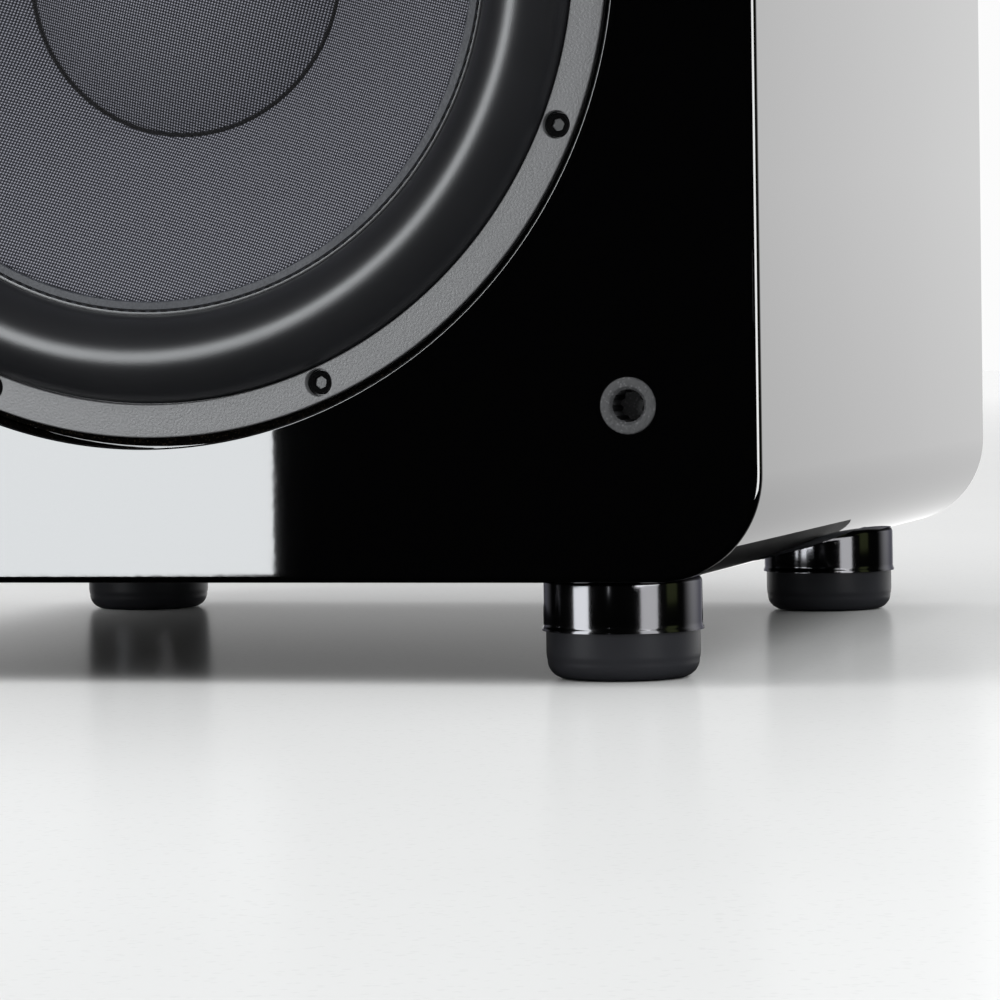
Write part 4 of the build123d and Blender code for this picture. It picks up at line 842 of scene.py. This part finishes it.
# ---------------------------------------------------------------- stage
class SUBWOOFER_OT_stage(bpy.types.Operator):
    """Make the floor, the surrounding light, the softboxes and the camera"""

    bl_idname = "subwoofer.stage"
    bl_label = "Studio Stage"

    def execute(self, context):
        settings = context.scene.subwoofer_stage
        disc = bmesh.new()
        bmesh.ops.create_circle(disc, cap_ends=True, segments=96, radius=14000)
        floor = add_piece(
            "studio_floor", disc, Matrix.Identity(4), None, studio_floor(settings.floor_colour)
        )
        floor.visible_glossy = False
        # the shade under the cabinet, which only reflections see
        slab = block((420, 450, 0.2), (0, -6, -1))
        shade = add_piece("floor_shade", slab, Matrix.Identity(4), None, finish("Bore Dark"))
        shade.visible_camera = shade.visible_diffuse = shade.visible_shadow = False
        self.light_world(context, settings)
        self.add_softboxes(settings.softbox_strength)
        self.add_camera(context)
        context.scene.view_settings.view_transform = "Standard"
        return {"FINISHED"}

    def light_world(self, context, settings):
        """Light from all round: plain to the camera, even on dull surfaces, shaped in reflections."""
        world = bpy.data.worlds.new("Studio Surround")
        context.scene.world = world
        world.use_nodes = True
        tree = world.node_tree
        background = tree.nodes["Background"]
        direction = tree.nodes.new("ShaderNodeTexCoord").outputs["Generated"]
        way = node(tree, "ShaderNodeSeparateXYZ", Vector=direction)
        # reflections see it bright behind the object and dark in front, and brighter above the floor
        behind = node(
            tree, "ShaderNodeMapRange", {"interpolation_type": "SMOOTHSTEP"},
            Value=way.outputs["Y"], From_Min=0.35, From_Max=0.85, To_Min=0.004, To_Max=1.0,
        ).outputs[0]
        height = node(
            tree, "ShaderNodeMapRange",
            Value=way.outputs["Z"], From_Min=-0.4, From_Max=0.04, To_Min=0.55, To_Max=1.5,
        ).outputs[0]
        kind = tree.nodes.new("ShaderNodeLightPath").outputs
        seen = maths(tree, "MULTIPLY", kind["Is Camera Ray"], 0.97)
        soft = maths(tree, "MULTIPLY", kind["Is Diffuse Ray"], settings.surround_light)
        shaped = maths(tree, "MULTIPLY", behind, height)
        mirrored = maths(tree, "MULTIPLY", shaped, kind["Is Glossy Ray"])
        total = maths(tree, "ADD", maths(tree, "ADD", seen, soft), mirrored)
        tree.links.new(total, background.inputs["Strength"])
        background.inputs["Color"].default_value = (1.0, 1.0, 1.0, 1)

    def add_softboxes(self, strength):
        """Area lights: softboxes light dull surfaces, and cards show only in chosen pieces' gloss."""
        # name, centre, point it faces, width, height, radiance, colour
        foot = (0.1625, -0.196, 0.1)
        boxes = (
            ("left softbox", (-0.952, -1.2, 1.3), foot, 1.0, 1.1, 2.0, (1.0, 1.0, 1.0)),
            ("right softbox", (1.413, -1.024, 1.3), foot, 1.1, 1.1, 3.2, (0.98, 1.0, 1.0)),
            ("top softbox", (-0.3, -0.6, 2.4), (0.0, 0.0, 0.2), 1.6, 1.6, 1.2, (1.0, 1.0, 1.0)),
            ("front sparkle", (0.0, -1.75, 0.16), foot, 0.05, 0.05, 3.0, (0.95, 0.97, 1.0)),
            ("green wall", (1.9, -0.22, 0.5), foot, 0.55, 1.0, 0.16, (0.62, 0.72, 0.3)),
            ("face card", (-0.7565, -1.72, 0.285), None, 0.595, 0.67, 18.5, (0.95, 0.98, 1.0)),
            ("left band card", (-0.90, -1.13, 0.3), foot, 0.62, 1.3, 4.6, (0.97, 0.99, 1.0)),
            ("right band card", (1.3, -1.08, 0.3), foot, 0.66, 1.3, 2.4, (1.0, 1.0, 1.0)),
            ("edge card", (1.374, -1.21, 0.5), (0.225, -0.2465, 0.5), 1.0, 1.6, 20.0, (1.0, 1.0, 1.0)),
        )
        for name, centre, target, width, height, radiance, colour in boxes:
            lamp = bpy.data.lights.new(name, "AREA")
            lamp.shape, lamp.size, lamp.size_y = "RECTANGLE", width, height
            lamp.energy = radiance * pi * width * height * strength
            lamp.color = colour
            shown = bpy.data.objects.new(name, lamp)
            bpy.context.scene.collection.objects.link(shown)
            facing = Vector(target) - Vector(centre) if target else Vector((0, 1, 0))
            if name.endswith("softbox"):
                shown.visible_glossy = False
            else:
                facing.z = 0.0
            shown.rotation_mode = "QUATERNION"
            shown.rotation_quaternion = facing.to_track_quat("-Z", "Y")
            shown.location = centre
            shown.visible_camera = False
            if name.endswith("card"):
                shown.visible_diffuse = False
                shown.light_linking.receiver_collection = bpy.data.collections.new(name)

    def add_camera(self, context):
        place = (0.52511, -1.63655, 0.11964)
        yaw, pitch, roll = 0.276, 0.0371, 0.0159
        forward = Vector((-sin(yaw) * cos(pitch), cos(yaw) * cos(pitch), -sin(pitch)))
        level = Vector((cos(yaw), sin(yaw), 0))
        above = level.cross(forward)
        right = level * cos(roll) - above * sin(roll)
        up = above * cos(roll) + level * sin(roll)
        turn = Matrix((right, up, -forward)).transposed().to_4x4()
        camera = bpy.data.objects.new("camera", bpy.data.cameras.new("camera"))
        camera.matrix_world = Matrix.Translation(place) @ turn
        camera.data.sensor_width = 36.0
        camera.data.lens = 148.67
        camera.data.clip_start = 0.05
        context.scene.collection.objects.link(camera)
        context.scene.camera = camera


# ---------------------------------------------------------------- cabinet
class SUBWOOFER_OT_cabinet(bpy.types.Operator):
    """Build the lacquered cabinet skin and dress the panels and braces inside it"""

    bl_idname = "subwoofer.cabinet"
    bl_label = "Lacquered Cabinet"

    def execute(self, context):
        settings = context.scene.subwoofer_cabinet
        size = (SHELL_HIGH - SHELL_LOW) / MM
        width, depth, height = size.x, size.y, size.z
        corner = settings.long_edge_radius / MM
        wall, front_wall = 25.0, 30.0
        opening_r, recess_r, lip = 151.0, 174.6, 0.7
        socket_r, socket_chamfer = 10.0, 0.3
        skin = rounded_block(
            (width, height, depth), (0, 0, depth / 2), corner, settings.face_edge_radius / MM, 24
        )
        hollow = (width - 2 * wall, height - 2 * wall, depth)
        inside = block(hollow, (0, 0, front_wall + depth / 2))
        round_upright_edges(inside, corner - wall, 8)
        opening = turned([(0, -8), (opening_r, -8), (opening_r, 40), (0, 40)], 192)
        # the recess flares into a small rounded lip at the face
        recess = turned(
            [(0, -4), (recess_r + lip, -4), (recess_r + lip, 0.0),
             ((recess_r + lip * 0.293, lip * 0.293), (recess_r, lip), 5),
             (recess_r, RECESS_FLOOR), (0, RECESS_FLOOR)],
            256,
        )
        flare = socket_r + 0.25
        socket = turned(
            [(0, -4), (flare, -4), (flare, 0.0), (socket_r, socket_chamfer), (socket_r, 18), (0, 18)],
            64,
        )
        skin = carve(skin, inside, opening, recess, copies(socket, at(SOCKET_PLACES)))
        cabinet = add_piece(
            "lacquered_cabinet", skin, FRONT, "cabinet", black_lacquer(settings.lacquer_colour),
            ("cabinet_shell",), 30, weighted=True,
        )
        show_cards(cabinet, "face card", "edge card")
        refine("rear_panel", "back_panel", finish("Back Paint"), bevel=0.5)
        dress("front_baffle", bare_board())
        dress("window_brace", bare_board())
        dress("wadding", finish("Wadding"))
        return {"FINISHED"}


# ---------------------------------------------------------------- driver
class SUBWOOFER_OT_driver_ring(bpy.types.Operator):
    """Build the trim ring, its sunk screws and the foam seen in the gap around it"""

    bl_idname = "subwoofer.driver_ring"
    bl_label = "Trim Ring and Screws"

    def execute(self, context):
        settings = context.scene.subwoofer_driver
        bolts = around(BOLT_CIRCLE_R, BOLT_COUNT, FIRST_BOLT_TURN)
        ring = turned(
            [(RING_INNER_R, RING_FACE), (RING_R, RING_FACE), (RING_R, RING_BACK),
             (RING_INNER_R, RING_BACK)],
            256, [(RING_R, RING_FACE, 0.5), (RING_INNER_R, RING_FACE, 0.6)],
        )
        bore = 4.9
        cutter = turned(
            [(0, RING_FACE - 2), (bore + 0.3, RING_FACE - 2), (bore + 0.3, RING_FACE),
             ((bore + 0.09, RING_FACE + 0.09), (bore, RING_FACE + 0.3), 3), (bore, 14), (0, 14)],
            48,
        )
        ring = carve(ring, copies(cutter, bolts))
        ring = add_piece(
            "grey_trim_ring", ring, FRONT, "cabinet", ring_paint(settings.ring_colour),
            ("trim_ring",), 30, weighted=True,
        )
        show_cards(ring, "face card")
        add_piece(
            "socket_head_screws", copies(self.screw(), bolts), FRONT, "cabinet",
            finish("Black Oxide Steel"), ("driver_screws",), 30, weighted=True,
        )
        dress("driver_gasket", speckled_foam())
        return {"FINISHED"}

    def screw(self):
        """A cap screw with a hexagon socket in its head."""
        top, bottom, end = 9.5, 14.3, 44.3
        head_r, shank_r = 4.25, 2.45
        head = turned(
            [(0, top), (head_r, top), (head_r, bottom), (shank_r, bottom), (shank_r, end), (0, end)],
            48, [(head_r, top, 0.55)],
        )
        key_r = 4 / sqrt(3)
        hexagon = bmesh.new()
        bmesh.ops.create_cone(
            hexagon, cap_ends=True, segments=6, radius1=key_r + 0.15, radius2=key_r, depth=3.2
        )
        bmesh.ops.translate(hexagon, vec=(0, 0, top + 1.2), verts=hexagon.verts[:])
        return carve(head, hexagon)


class SUBWOOFER_OT_roll(bpy.types.Operator):
    """Build the rubber roll in sectors, and the stitches on its band"""

    bl_idname = "subwoofer.roll"
    bl_label = "Rubber Roll and Stitches"

    def execute(self, context):
        settings = context.scene.subwoofer_driver
        turn = 2 * pi / settings.roll_sectors
        for number in range(settings.roll_sectors):
            self.add_sector(number, turn)
        self.add_stitches(settings.stitch_pitch / MM)
        return {"FINISHED"}

    def outline(self):
        """The roll's section, from its band on the cone to its rim under the ring."""
        middle = (ROLL_INNER_R + RING_INNER_R) / 2
        return [
            (CONE_R, EDGE_FACE + 0.35),
            (CONE_R + 0.35, EDGE_FACE),
            (STITCH_R - 0.55, EDGE_FACE),
            ((STITCH_R, EDGE_FACE + 0.7), (STITCH_R + 0.55, EDGE_FACE), 4),
            (STITCH_R + 1.2, EDGE_FACE - 0.05),
            (ROLL_INNER_R - 0.1, EDGE_FACE + 0.15),
            ((middle, ROLL_CREST), (RING_INNER_R - 0.2, RING_BACK), 40),
            (RING_R - 0.5, RING_BACK),
            (RING_R - 0.5, FLANGE_FRONT),
            (RING_INNER_R - 1.3, FLANGE_FRONT),
            ((middle, ROLL_CREST + 1.3), (ROLL_INNER_R + 1.3, EDGE_BACK), 24),
            (CONE_R, EDGE_BACK),
        ]

    def add_sector(self, number, turn):
        """One sector of the roll."""
        bm = bmesh.new()
        first, last = draw(bm, self.outline())
        bm.edges.new((last, first))
        face = bm.faces.new(self.loop_from(first))
        start = Matrix.Rotation(number * turn, 3, "Z")
        bmesh.ops.rotate(bm, cent=(0, 0, 0), matrix=start, verts=bm.verts[:])
        bmesh.ops.spin(
            bm, geom=[face, *face.edges, *face.verts], cent=(0, 0, 0), axis=(0, 0, 1),
            dvec=(0, 0, 0), angle=turn, steps=round(ROLL_STEPS * turn / (2 * pi)),
        )
        bmesh.ops.remove_doubles(bm, verts=bm.verts[:], dist=1e-5)
        bmesh.ops.recalc_face_normals(bm, faces=bm.faces[:])
        piece = add_piece(
            f"roll_sector_{number + 1:02d}", bm, FRONT, None, roll_rubber(), (), 38
        )
        piece.data.materials.append(band_rubber())
        centre = FRONT.translation
        for polygon in piece.data.polygons:
            away = polygon.center - centre
            on_band = hypot(away.x, away.z) < BAND_R * MM and away.y < (EDGE_FACE + 1) * MM
            polygon.material_index = 1 if on_band else 0
        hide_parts("surround")
        show_cards(piece, "face card")
        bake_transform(piece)

    def loop_from(self, first):
        """The verts of the one closed outline, in order."""
        verts, vert, edge = [first], first, first.link_edges[0]
        while True:
            vert = edge.other_vert(vert)
            if vert is first:
                return verts
            verts.append(vert)
            edge = next(e for e in vert.link_edges if e is not edge)

    def add_stitches(self, pitch):
        """Slightly uneven stitches all round the band."""
        rng = random.Random(7)
        number = round(2 * pi * STITCH_R / pitch)
        stitch = bmesh.new()
        bmesh.ops.create_uvsphere(stitch, u_segments=7, v_segments=5, radius=0.5)
        bmesh.ops.scale(stitch, vec=(0.85, pitch * 0.8, 0.7), verts=stitch.verts[:])
        places = []
        for i in range(number):
            turn = Matrix.Rotation(2 * pi * i / number, 4, "Z")
            slant = Matrix.Rotation(radians(9 + rng.uniform(-4, 4)), 4, "Z")
            shift = Matrix.Translation((STITCH_R + rng.uniform(-0.08, 0.08), 0, EDGE_FACE + 0.28))
            places.append(turn @ shift @ slant)
        add_piece(
            "edge_stitches", copies(stitch, places), FRONT, "driver_cone", edge_thread(),
            ("edge_stitching",), 60,
        )


class SUBWOOFER_OT_cone(bpy.types.Operator):
    """Build the woven cone, its dust cap and the bead of glue round the cap"""

    bl_idname = "subwoofer.cone"
    bl_label = "Woven Cone"

    def execute(self, context):
        cloth = woven_cloth(context.scene.subwoofer_driver.thread_pitch)
        rim = ROLL_INNER_R - 0.6
        (middle_r, middle_depth), (neck_r, neck_depth) = CONE_MIDDLE, CONE_NECK
        cone = [
            (rim, EDGE_BACK),
            (CONE_R, EDGE_BACK),
            (CONE_MIDDLE, CONE_NECK, 40),
            (neck_r, neck_depth + CONE_THICK),
            ((middle_r, middle_depth + CONE_THICK), (CONE_R, EDGE_BACK + CONE_THICK), 40),
            (rim, EDGE_BACK + CONE_THICK),
        ]
        add_piece(
            "woven_cone", turned(cone, 256), FRONT, "driver_cone", cloth, ("cone",), 35
        )
        base = cone_depth(CAP_R)
        sphere = (CAP_R**2 + CAP_RISE**2) / (2 * CAP_RISE)
        mid = CAP_R * 0.5
        mid_depth = base - CAP_RISE + sphere - sqrt(sphere**2 - mid**2)
        cap = [
            (0, base - CAP_RISE),
            ((mid, mid_depth), (CAP_R, base), 24),
            (CAP_R - CAP_THICK, base),
            ((mid, mid_depth + CAP_THICK), (0, base - CAP_RISE + CAP_THICK), 24),
        ]
        add_piece(
            "woven_dust_cap", turned(cap, 160, closed=False), FRONT, "driver_cone", cloth,
            ("dust_cap",), 40,
        )
        bead = [
            (CAP_R - 0.4, base - 0.9),
            ((CAP_R + 0.8, base - 0.9), (CAP_R + 1.7, base - 0.45), 6),
            (CAP_R - 0.4, base + 0.6),
        ]
        add_piece(
            "cap_glue_bead", turned(bead, 160), FRONT, "driver_cone", edge_thread(), (),
            50,
        )
        return {"FINISHED"}


class SUBWOOFER_OT_motor(bpy.types.Operator):
    """Dress the basket, the motor and the moving parts behind the cone"""

    bl_idname = "subwoofer.motor"
    bl_label = "Basket and Motor"

    def execute(self, context):
        finishes = {
            "driver_basket": "Cast Black Paint",
            "driver_inserts": "Zinc Steel",
            "top_plate": "Zinc Steel",
            "magnet_rings": "Ferrite",
            "yoke": "Zinc Steel",
            "magnet_boot": "Cable Jacket",
            "terminal_block": "Moulded Black Plastic",
            "voice_coil_former": "Foil",
            "voice_coil": "Copper Winding",
            "spider": "Spider Cloth",
            "driver_cable": "Cable Jacket",
            "cable_grommet": "Cable Jacket",
        }
        for packed, name in finishes.items():
            dress(packed, finish(name))
        self.add_leads()
        return {"FINISHED"}

    def add_leads(self):
        """The two flexible leads."""
        leads = refine("tinsel_leads", "flexible_leads", finish("Copper Winding"), body=None)
        axis = FRONT.translation
        points = [vert.co for vert in leads.data.vertices]
        points.sort(key=lambda co: abs(co.z - axis.z))
        near, far = points[0].copy(), points[-1].copy()
        near.x = far.x = axis.x
        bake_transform(leads)


# ---------------------------------------------------------------- grille sockets and feet
class SUBWOOFER_OT_grille_sockets(bpy.types.Operator):
    """Build the four soft sockets that hold the grille's pegs"""

    bl_idname = "subwoofer.grille_sockets"
    bl_label = "Grille Sockets"

    def execute(self, context):
        outer, bore, proud = 9.95, 5.7, -0.35
        mouth = bore + 0.9
        ring = turned(
            [(outer, 16), (outer, proud), (mouth, proud), (bore, 0.7), (bore, 13), (0, 13), (0, 16)],
            72, [(outer, proud, 0.5), (mouth, proud, 0.35)],
        )
        grip = turned([(0.0, 0.7), (1.15, 0.7), (1.15, 12.9), (0.0, 12.9)], 20, [(1.15, 0.7, 0.5)])
        grips = copies(grip, around(bore + 0.35, 9, 10))
        places = at(SOCKET_PLACES)
        sockets = add_piece(
            "soft_grille_sockets", copies(ring, places), FRONT, "cabinet", socket_rubber(),
            ("grille_sockets",), 35,
        )
        show_cards(sockets, "face card")
        # the grips deep in the bores are painted near-black, as painted shade in the bores
        add_piece(
            "socket_grips", copies(grips, places), FRONT, "cabinet", finish("Bore Dark"), (),
            35,
        )
        return {"FINISHED"}


class SUBWOOFER_OT_feet(bpy.types.Operator):
    """Build the black chrome collars and rubber pads of the four feet"""

    bl_idname = "subwoofer.feet"
    bl_label = "Feet"

    def execute(self, context):
        settings = context.scene.subwoofer_feet
        chrome = black_chrome(settings.collar_colour)
        rubber = pad_rubber(settings.rubber_colour)
        top, hole = 36.8, 3.3
        collar = [
            (hole, top), (26.3, top), ((28.0, top - 0.75), (28.7, top - 2.4), 6), (28.75, 20.4),
            ((28.85, 18.9), (29.2, 18.1), 4), (29.2, 17.4), (28.05, 17.4), (28.05, 33.7), (hole, 33.7),
        ]
        pad = [
            (hole, 33.5), (27.85, 33.5), (27.85, 9.2), (27.65, 7.4), (27.45, 6.9),
            ((25.6, 2.05), (21.2, 0.15), 10), (20.0, 0.0), (10.4, 0.0), (9.0, 1.4), (9.0, 14.0),
            (hole, 14.0),
        ]
        for where in ("front_left", "front_right", "rear_left", "rear_right"):
            low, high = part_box(f"foot_collar_{where}")
            centre = (low + high) / 2
            place = Matrix.Translation((centre.x, centre.y, 0))
            for kind, shown, outline, material, slot in (
                ("foot_collar", "chrome_collar", collar, chrome, "black_chrome"),
                ("foot_pad", "rubber_pad", pad, rubber, "foot_rubber"),
            ):
                piece = add_piece(
                    f"{shown}_{where}", turned(outline, 128), place, "cabinet", material,
                    (f"{kind}_{where}",), 40,
                )
                show_cards(piece, "left band card", "right band card")
        dress("foot_bolts", finish("Zinc Steel"))
        dress("foot_inserts", finish("Zinc Steel"))
        return {"FINISHED"}


# ---------------------------------------------------------------- amplifier on the back
class SUBWOOFER_OT_amplifier(bpy.types.Operator):
    """Build the amplifier plate, its screws and the heat sink, and dress what is behind them"""

    bl_idname = "subwoofer.amplifier"
    bl_label = "Amplifier Plate"

    def execute(self, context):
        settings = context.scene.subwoofer_back
        paint = grained("Plate Paint", settings.plate_colour, 0.45, 0.0009, 0.0001).material
        refine("amp_plate", "amplifier_plate", paint, bevel=0.4)
        steel, anodised = finish("Black Oxide Steel"), finish("Black Anodised")
        refine("amp_screws", "plate_screws", steel, bevel=0.15)
        refine("heat_sink", "finned_heat_sink", anodised, bevel=0.35)
        self.add_dial_marks()
        finishes = {
            "amp_gasket": speckled_foam(),
            "heat_sink_screws": finish("Zinc Steel"),
            "amp_enclosure": finish("Zinc Steel"),
            "main_board": finish("Board Green"),
            "capacitors": finish("Can Sleeve"),
            "transformer": finish("Yellow Wrap"),
            "transformer_bolt": finish("Zinc Steel"),
            "control_pots": finish("Zinc Steel"),
        }
        for packed, material in finishes.items():
            dress(packed, material)
        return {"FINISHED"}

    def add_dial_marks(self):
        """Printed ticks round each knob and a thin outline round the groups of controls."""
        sunk = 0.02
        ticks = []
        for u in KNOBS.values():
            for i in range(11):
                reach = 17.2 if i in (0, 5, 10) else 16.4
                turn = Matrix.Rotation(radians(240 - 30 * i), 4, "Z")
                out = Matrix.Translation((reach, 0, sunk))
                ticks.append(Matrix.Translation((u, KNOB_V, 0)) @ turn @ out)
        tick = block((2.6, 0.55, 0.1))
        lines = []
        for u, v, width, height in (
            (-73, 112, 138, 56), (-73, 56, 138, 34), (-73, -12, 138, 76), (-84, -112, 116, 66),
        ):
            for sign in (-1, 1):
                lines.append(block((width, 0.4, 0.1), (u, v + sign * height / 2, sunk)))
                lines.append(block((0.4, height, 0.1), (u + sign * width / 2, v, sunk)))
        marks = merge(copies(tick, ticks), *lines)
        add_piece(
            "printed_marks", marks, REAR, "cabinet", finish("Print White"), (), 30
        )


class SUBWOOFER_OT_controls(bpy.types.Operator):
    """Build the knobs, the jacks, the toggle switch and the status lamp"""

    bl_idname = "subwoofer.controls"
    bl_label = "Controls and Jacks"

    def execute(self, context):
        grooves = context.scene.subwoofer_back.knob_grooves
        for body, u in KNOBS.items():
            place = on_back(u, KNOB_V)
            add_piece(
                f"grooved_{body}", self.knob(grooves), place, body, finish("Soft Knob Plastic"),
                (body,), 30,
            )
            line = rounded_block((1.3, 7.6, 0.5), (0, 7.6, 14.75), 0.5, 0.1, 3)
            add_piece(
                f"{body}_pointer", line, place, body, finish("Print White"), (), 30
            )
        self.add_jacks()
        refine("toggle_base", "toggle_bushing", finish("Nickel"), bevel=0.15)
        refine("toggle_lever", "toggle_bat", finish("Nickel"), body="toggle_lever")
        refine("trigger_jack", "trigger_socket", finish("Nickel"), bevel=0.2)
        refine("status_led", "status_lamp", lamp_lens())
        bezel = turned([(3.0, 0.0), (4.6, 0.0), (4.6, 0.6), (3.9, 1.1), (3.0, 1.1)], 48)
        add_piece(
            "lamp_bezel", bezel, on_back(*LAMP), "cabinet", finish("Nickel"), (), 30
        )
        return {"FINISHED"}

    def knob(self, grooves):
        """A round knob with grooves down its side, a dished end and its stem."""
        knob_r, base, top = 12.0, 0.8, 14.8
        bm = turned(
            [(0, -11.5), (3.0, -11.5), (3.0, 3.8), (10.0, 3.8), (10.0, base), (knob_r, base),
             (knob_r, top), (10.6, top), (9.8, 14.5), (0, 14.5)],
            grooves * 4, [(knob_r, top, 0.9), (knob_r, base, 0.3)],
        )
        upright = [f for f in bm.faces if abs(f.normal.z) < 0.1 and f.calc_area() > 2]
        side = [f for f in upright if hypot(*f.calc_center_median()[:2]) > knob_r - 0.2]
        side.sort(key=lambda f: atan2(f.calc_center_median().y, f.calc_center_median().x))
        bmesh.ops.inset_individual(bm, faces=side[::4], thickness=0.05, depth=-0.45)
        return bm

    def add_jacks(self):
        """The panel of four line jacks: white collars in the upper row, red in the lower."""
        u, v = JACK_CENTRE
        spots = [(u + i * 18, v + j * 16) for i in (-1, 1) for j in (-1, 1)]
        panel = rounded_block((64, 60, 1.5), (*JACK_CENTRE, 0.75), 3, 0.3, 6)
        bore = turned([(0, -2), (5.0, -2), (5.0, 4), (0, 4)], 40)
        panel = carve(panel, copies(bore, at(spots)))
        add_piece(
            "jack_panel", panel, REAR, "cabinet", finish("Moulded Black Plastic"), ("line_jacks",),
            30, weighted=True,
        )
        collar = turned([(4.3, 0.2), (6.5, 0.2), (6.5, 3.5), (4.3, 3.5)], 48, [(6.5, 3.5, 0.5)])
        collars = {"white": [s for s in spots if s[1] > v], "red": [s for s in spots if s[1] < v]}
        for colour, chosen in collars.items():
            add_piece(
                f"jack_collars_{colour}", copies(collar.copy(), at(chosen)), REAR, "cabinet",
                finish(f"Jack {colour.title()}"), (), 30,
            )
        collar.free()
        sleeve = turned([(3.7, -9), (4.15, -9), (4.15, 12), (3.7, 12)], 40, [(4.15, 12, 0.2)])
        add_piece(
            "jack_sleeves", copies(sleeve, at(spots)), REAR, "cabinet", finish("Nickel"), (),
            30,
        )
        core = turned([(1.7, -9), (3.65, -9), (3.65, 11.3), (1.7, 11.3)], 32, [(1.7, 11.3, 0.3)])
        add_piece(
            "jack_cores", copies(core, at(spots)), REAR, "cabinet", finish("Moulded Black Plastic"),
            (), 30,
        )


class SUBWOOFER_OT_mains(bpy.types.Operator):
    """Build the mains inlet with its fuse drawer, and the power switch"""

    bl_idname = "subwoofer.mains"
    bl_label = "Mains Inlet and Switch"

    def execute(self, context):
        hard, soft, nickel = (
            finish(name) for name in ("Moulded Black Plastic", "Soft Knob Plastic", "Nickel")
        )
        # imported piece, new piece, finish, body, bevel, slot
        for packed, name, material, body, bevel_size, slot in (
            ("inlet_housing", "mains_inlet", hard, "cabinet", 0.25, "black_plastic"),
            ("inlet_pins", "mains_pins", nickel, "cabinet", 0.3, "nickel"),
            ("fuse_drawer", "fuse_holder", hard, "fuse_drawer", 0.2, "black_plastic"),
            ("switch_bezel", "switch_frame", hard, "cabinet", 0.25, "black_plastic"),
            ("power_rocker", "rocker_key", soft, "power_rocker", 0.4, "black_plastic"),
        ):
            refine(packed, name, material, body, bevel_size)
        return {"FINISHED"}


class SUBWOOFER_PT_build(bpy.types.Panel):
    bl_label = "Powered Subwoofer"
    bl_idname = "SUBWOOFER_PT_build"
    bl_space_type = "VIEW_3D"
    bl_region_type = "UI"
    bl_category = "Subwoofer"

    def draw(self, context):
        for operator in OPERATORS:
            self.layout.operator(operator.bl_idname)
        for name, group in SETTINGS.items():
            column = self.layout.column(heading=name.title())
            for field in group.__annotations__:
                column.prop(getattr(context.scene, f"subwoofer_{name}"), field)


SETTINGS = {
    "stage": SUBWOOFER_PG_stage,
    "cabinet": SUBWOOFER_PG_cabinet,
    "driver": SUBWOOFER_PG_driver,
    "feet": SUBWOOFER_PG_feet,
    "back": SUBWOOFER_PG_back,
}
OPERATORS = (
    SUBWOOFER_OT_stage,
    SUBWOOFER_OT_cabinet,
    SUBWOOFER_OT_driver_ring,
    SUBWOOFER_OT_roll,
    SUBWOOFER_OT_cone,
    SUBWOOFER_OT_motor,
    SUBWOOFER_OT_grille_sockets,
    SUBWOOFER_OT_feet,
    SUBWOOFER_OT_amplifier,
    SUBWOOFER_OT_controls,
    SUBWOOFER_OT_mains,
)


def register():
    for group in SETTINGS.values():
        bpy.utils.register_class(group)
    for operator in OPERATORS:
        bpy.utils.register_class(operator)
    bpy.utils.register_class(SUBWOOFER_PT_build)
    for name, group in SETTINGS.items():
        setattr(bpy.types.Scene, f"subwoofer_{name}", bpy.props.PointerProperty(type=group))


def unregister():
    for name in SETTINGS:
        delattr(bpy.types.Scene, f"subwoofer_{name}")
    for group in (SUBWOOFER_PT_build, *reversed(OPERATORS), *reversed(SETTINGS.values())):
        bpy.utils.unregister_class(group)


def main():
    register()
    for operator in OPERATORS:
        module, name = operator.bl_idname.split(".")
        getattr(getattr(bpy.ops, module), name)()


if __name__ == "__main__":
    main()
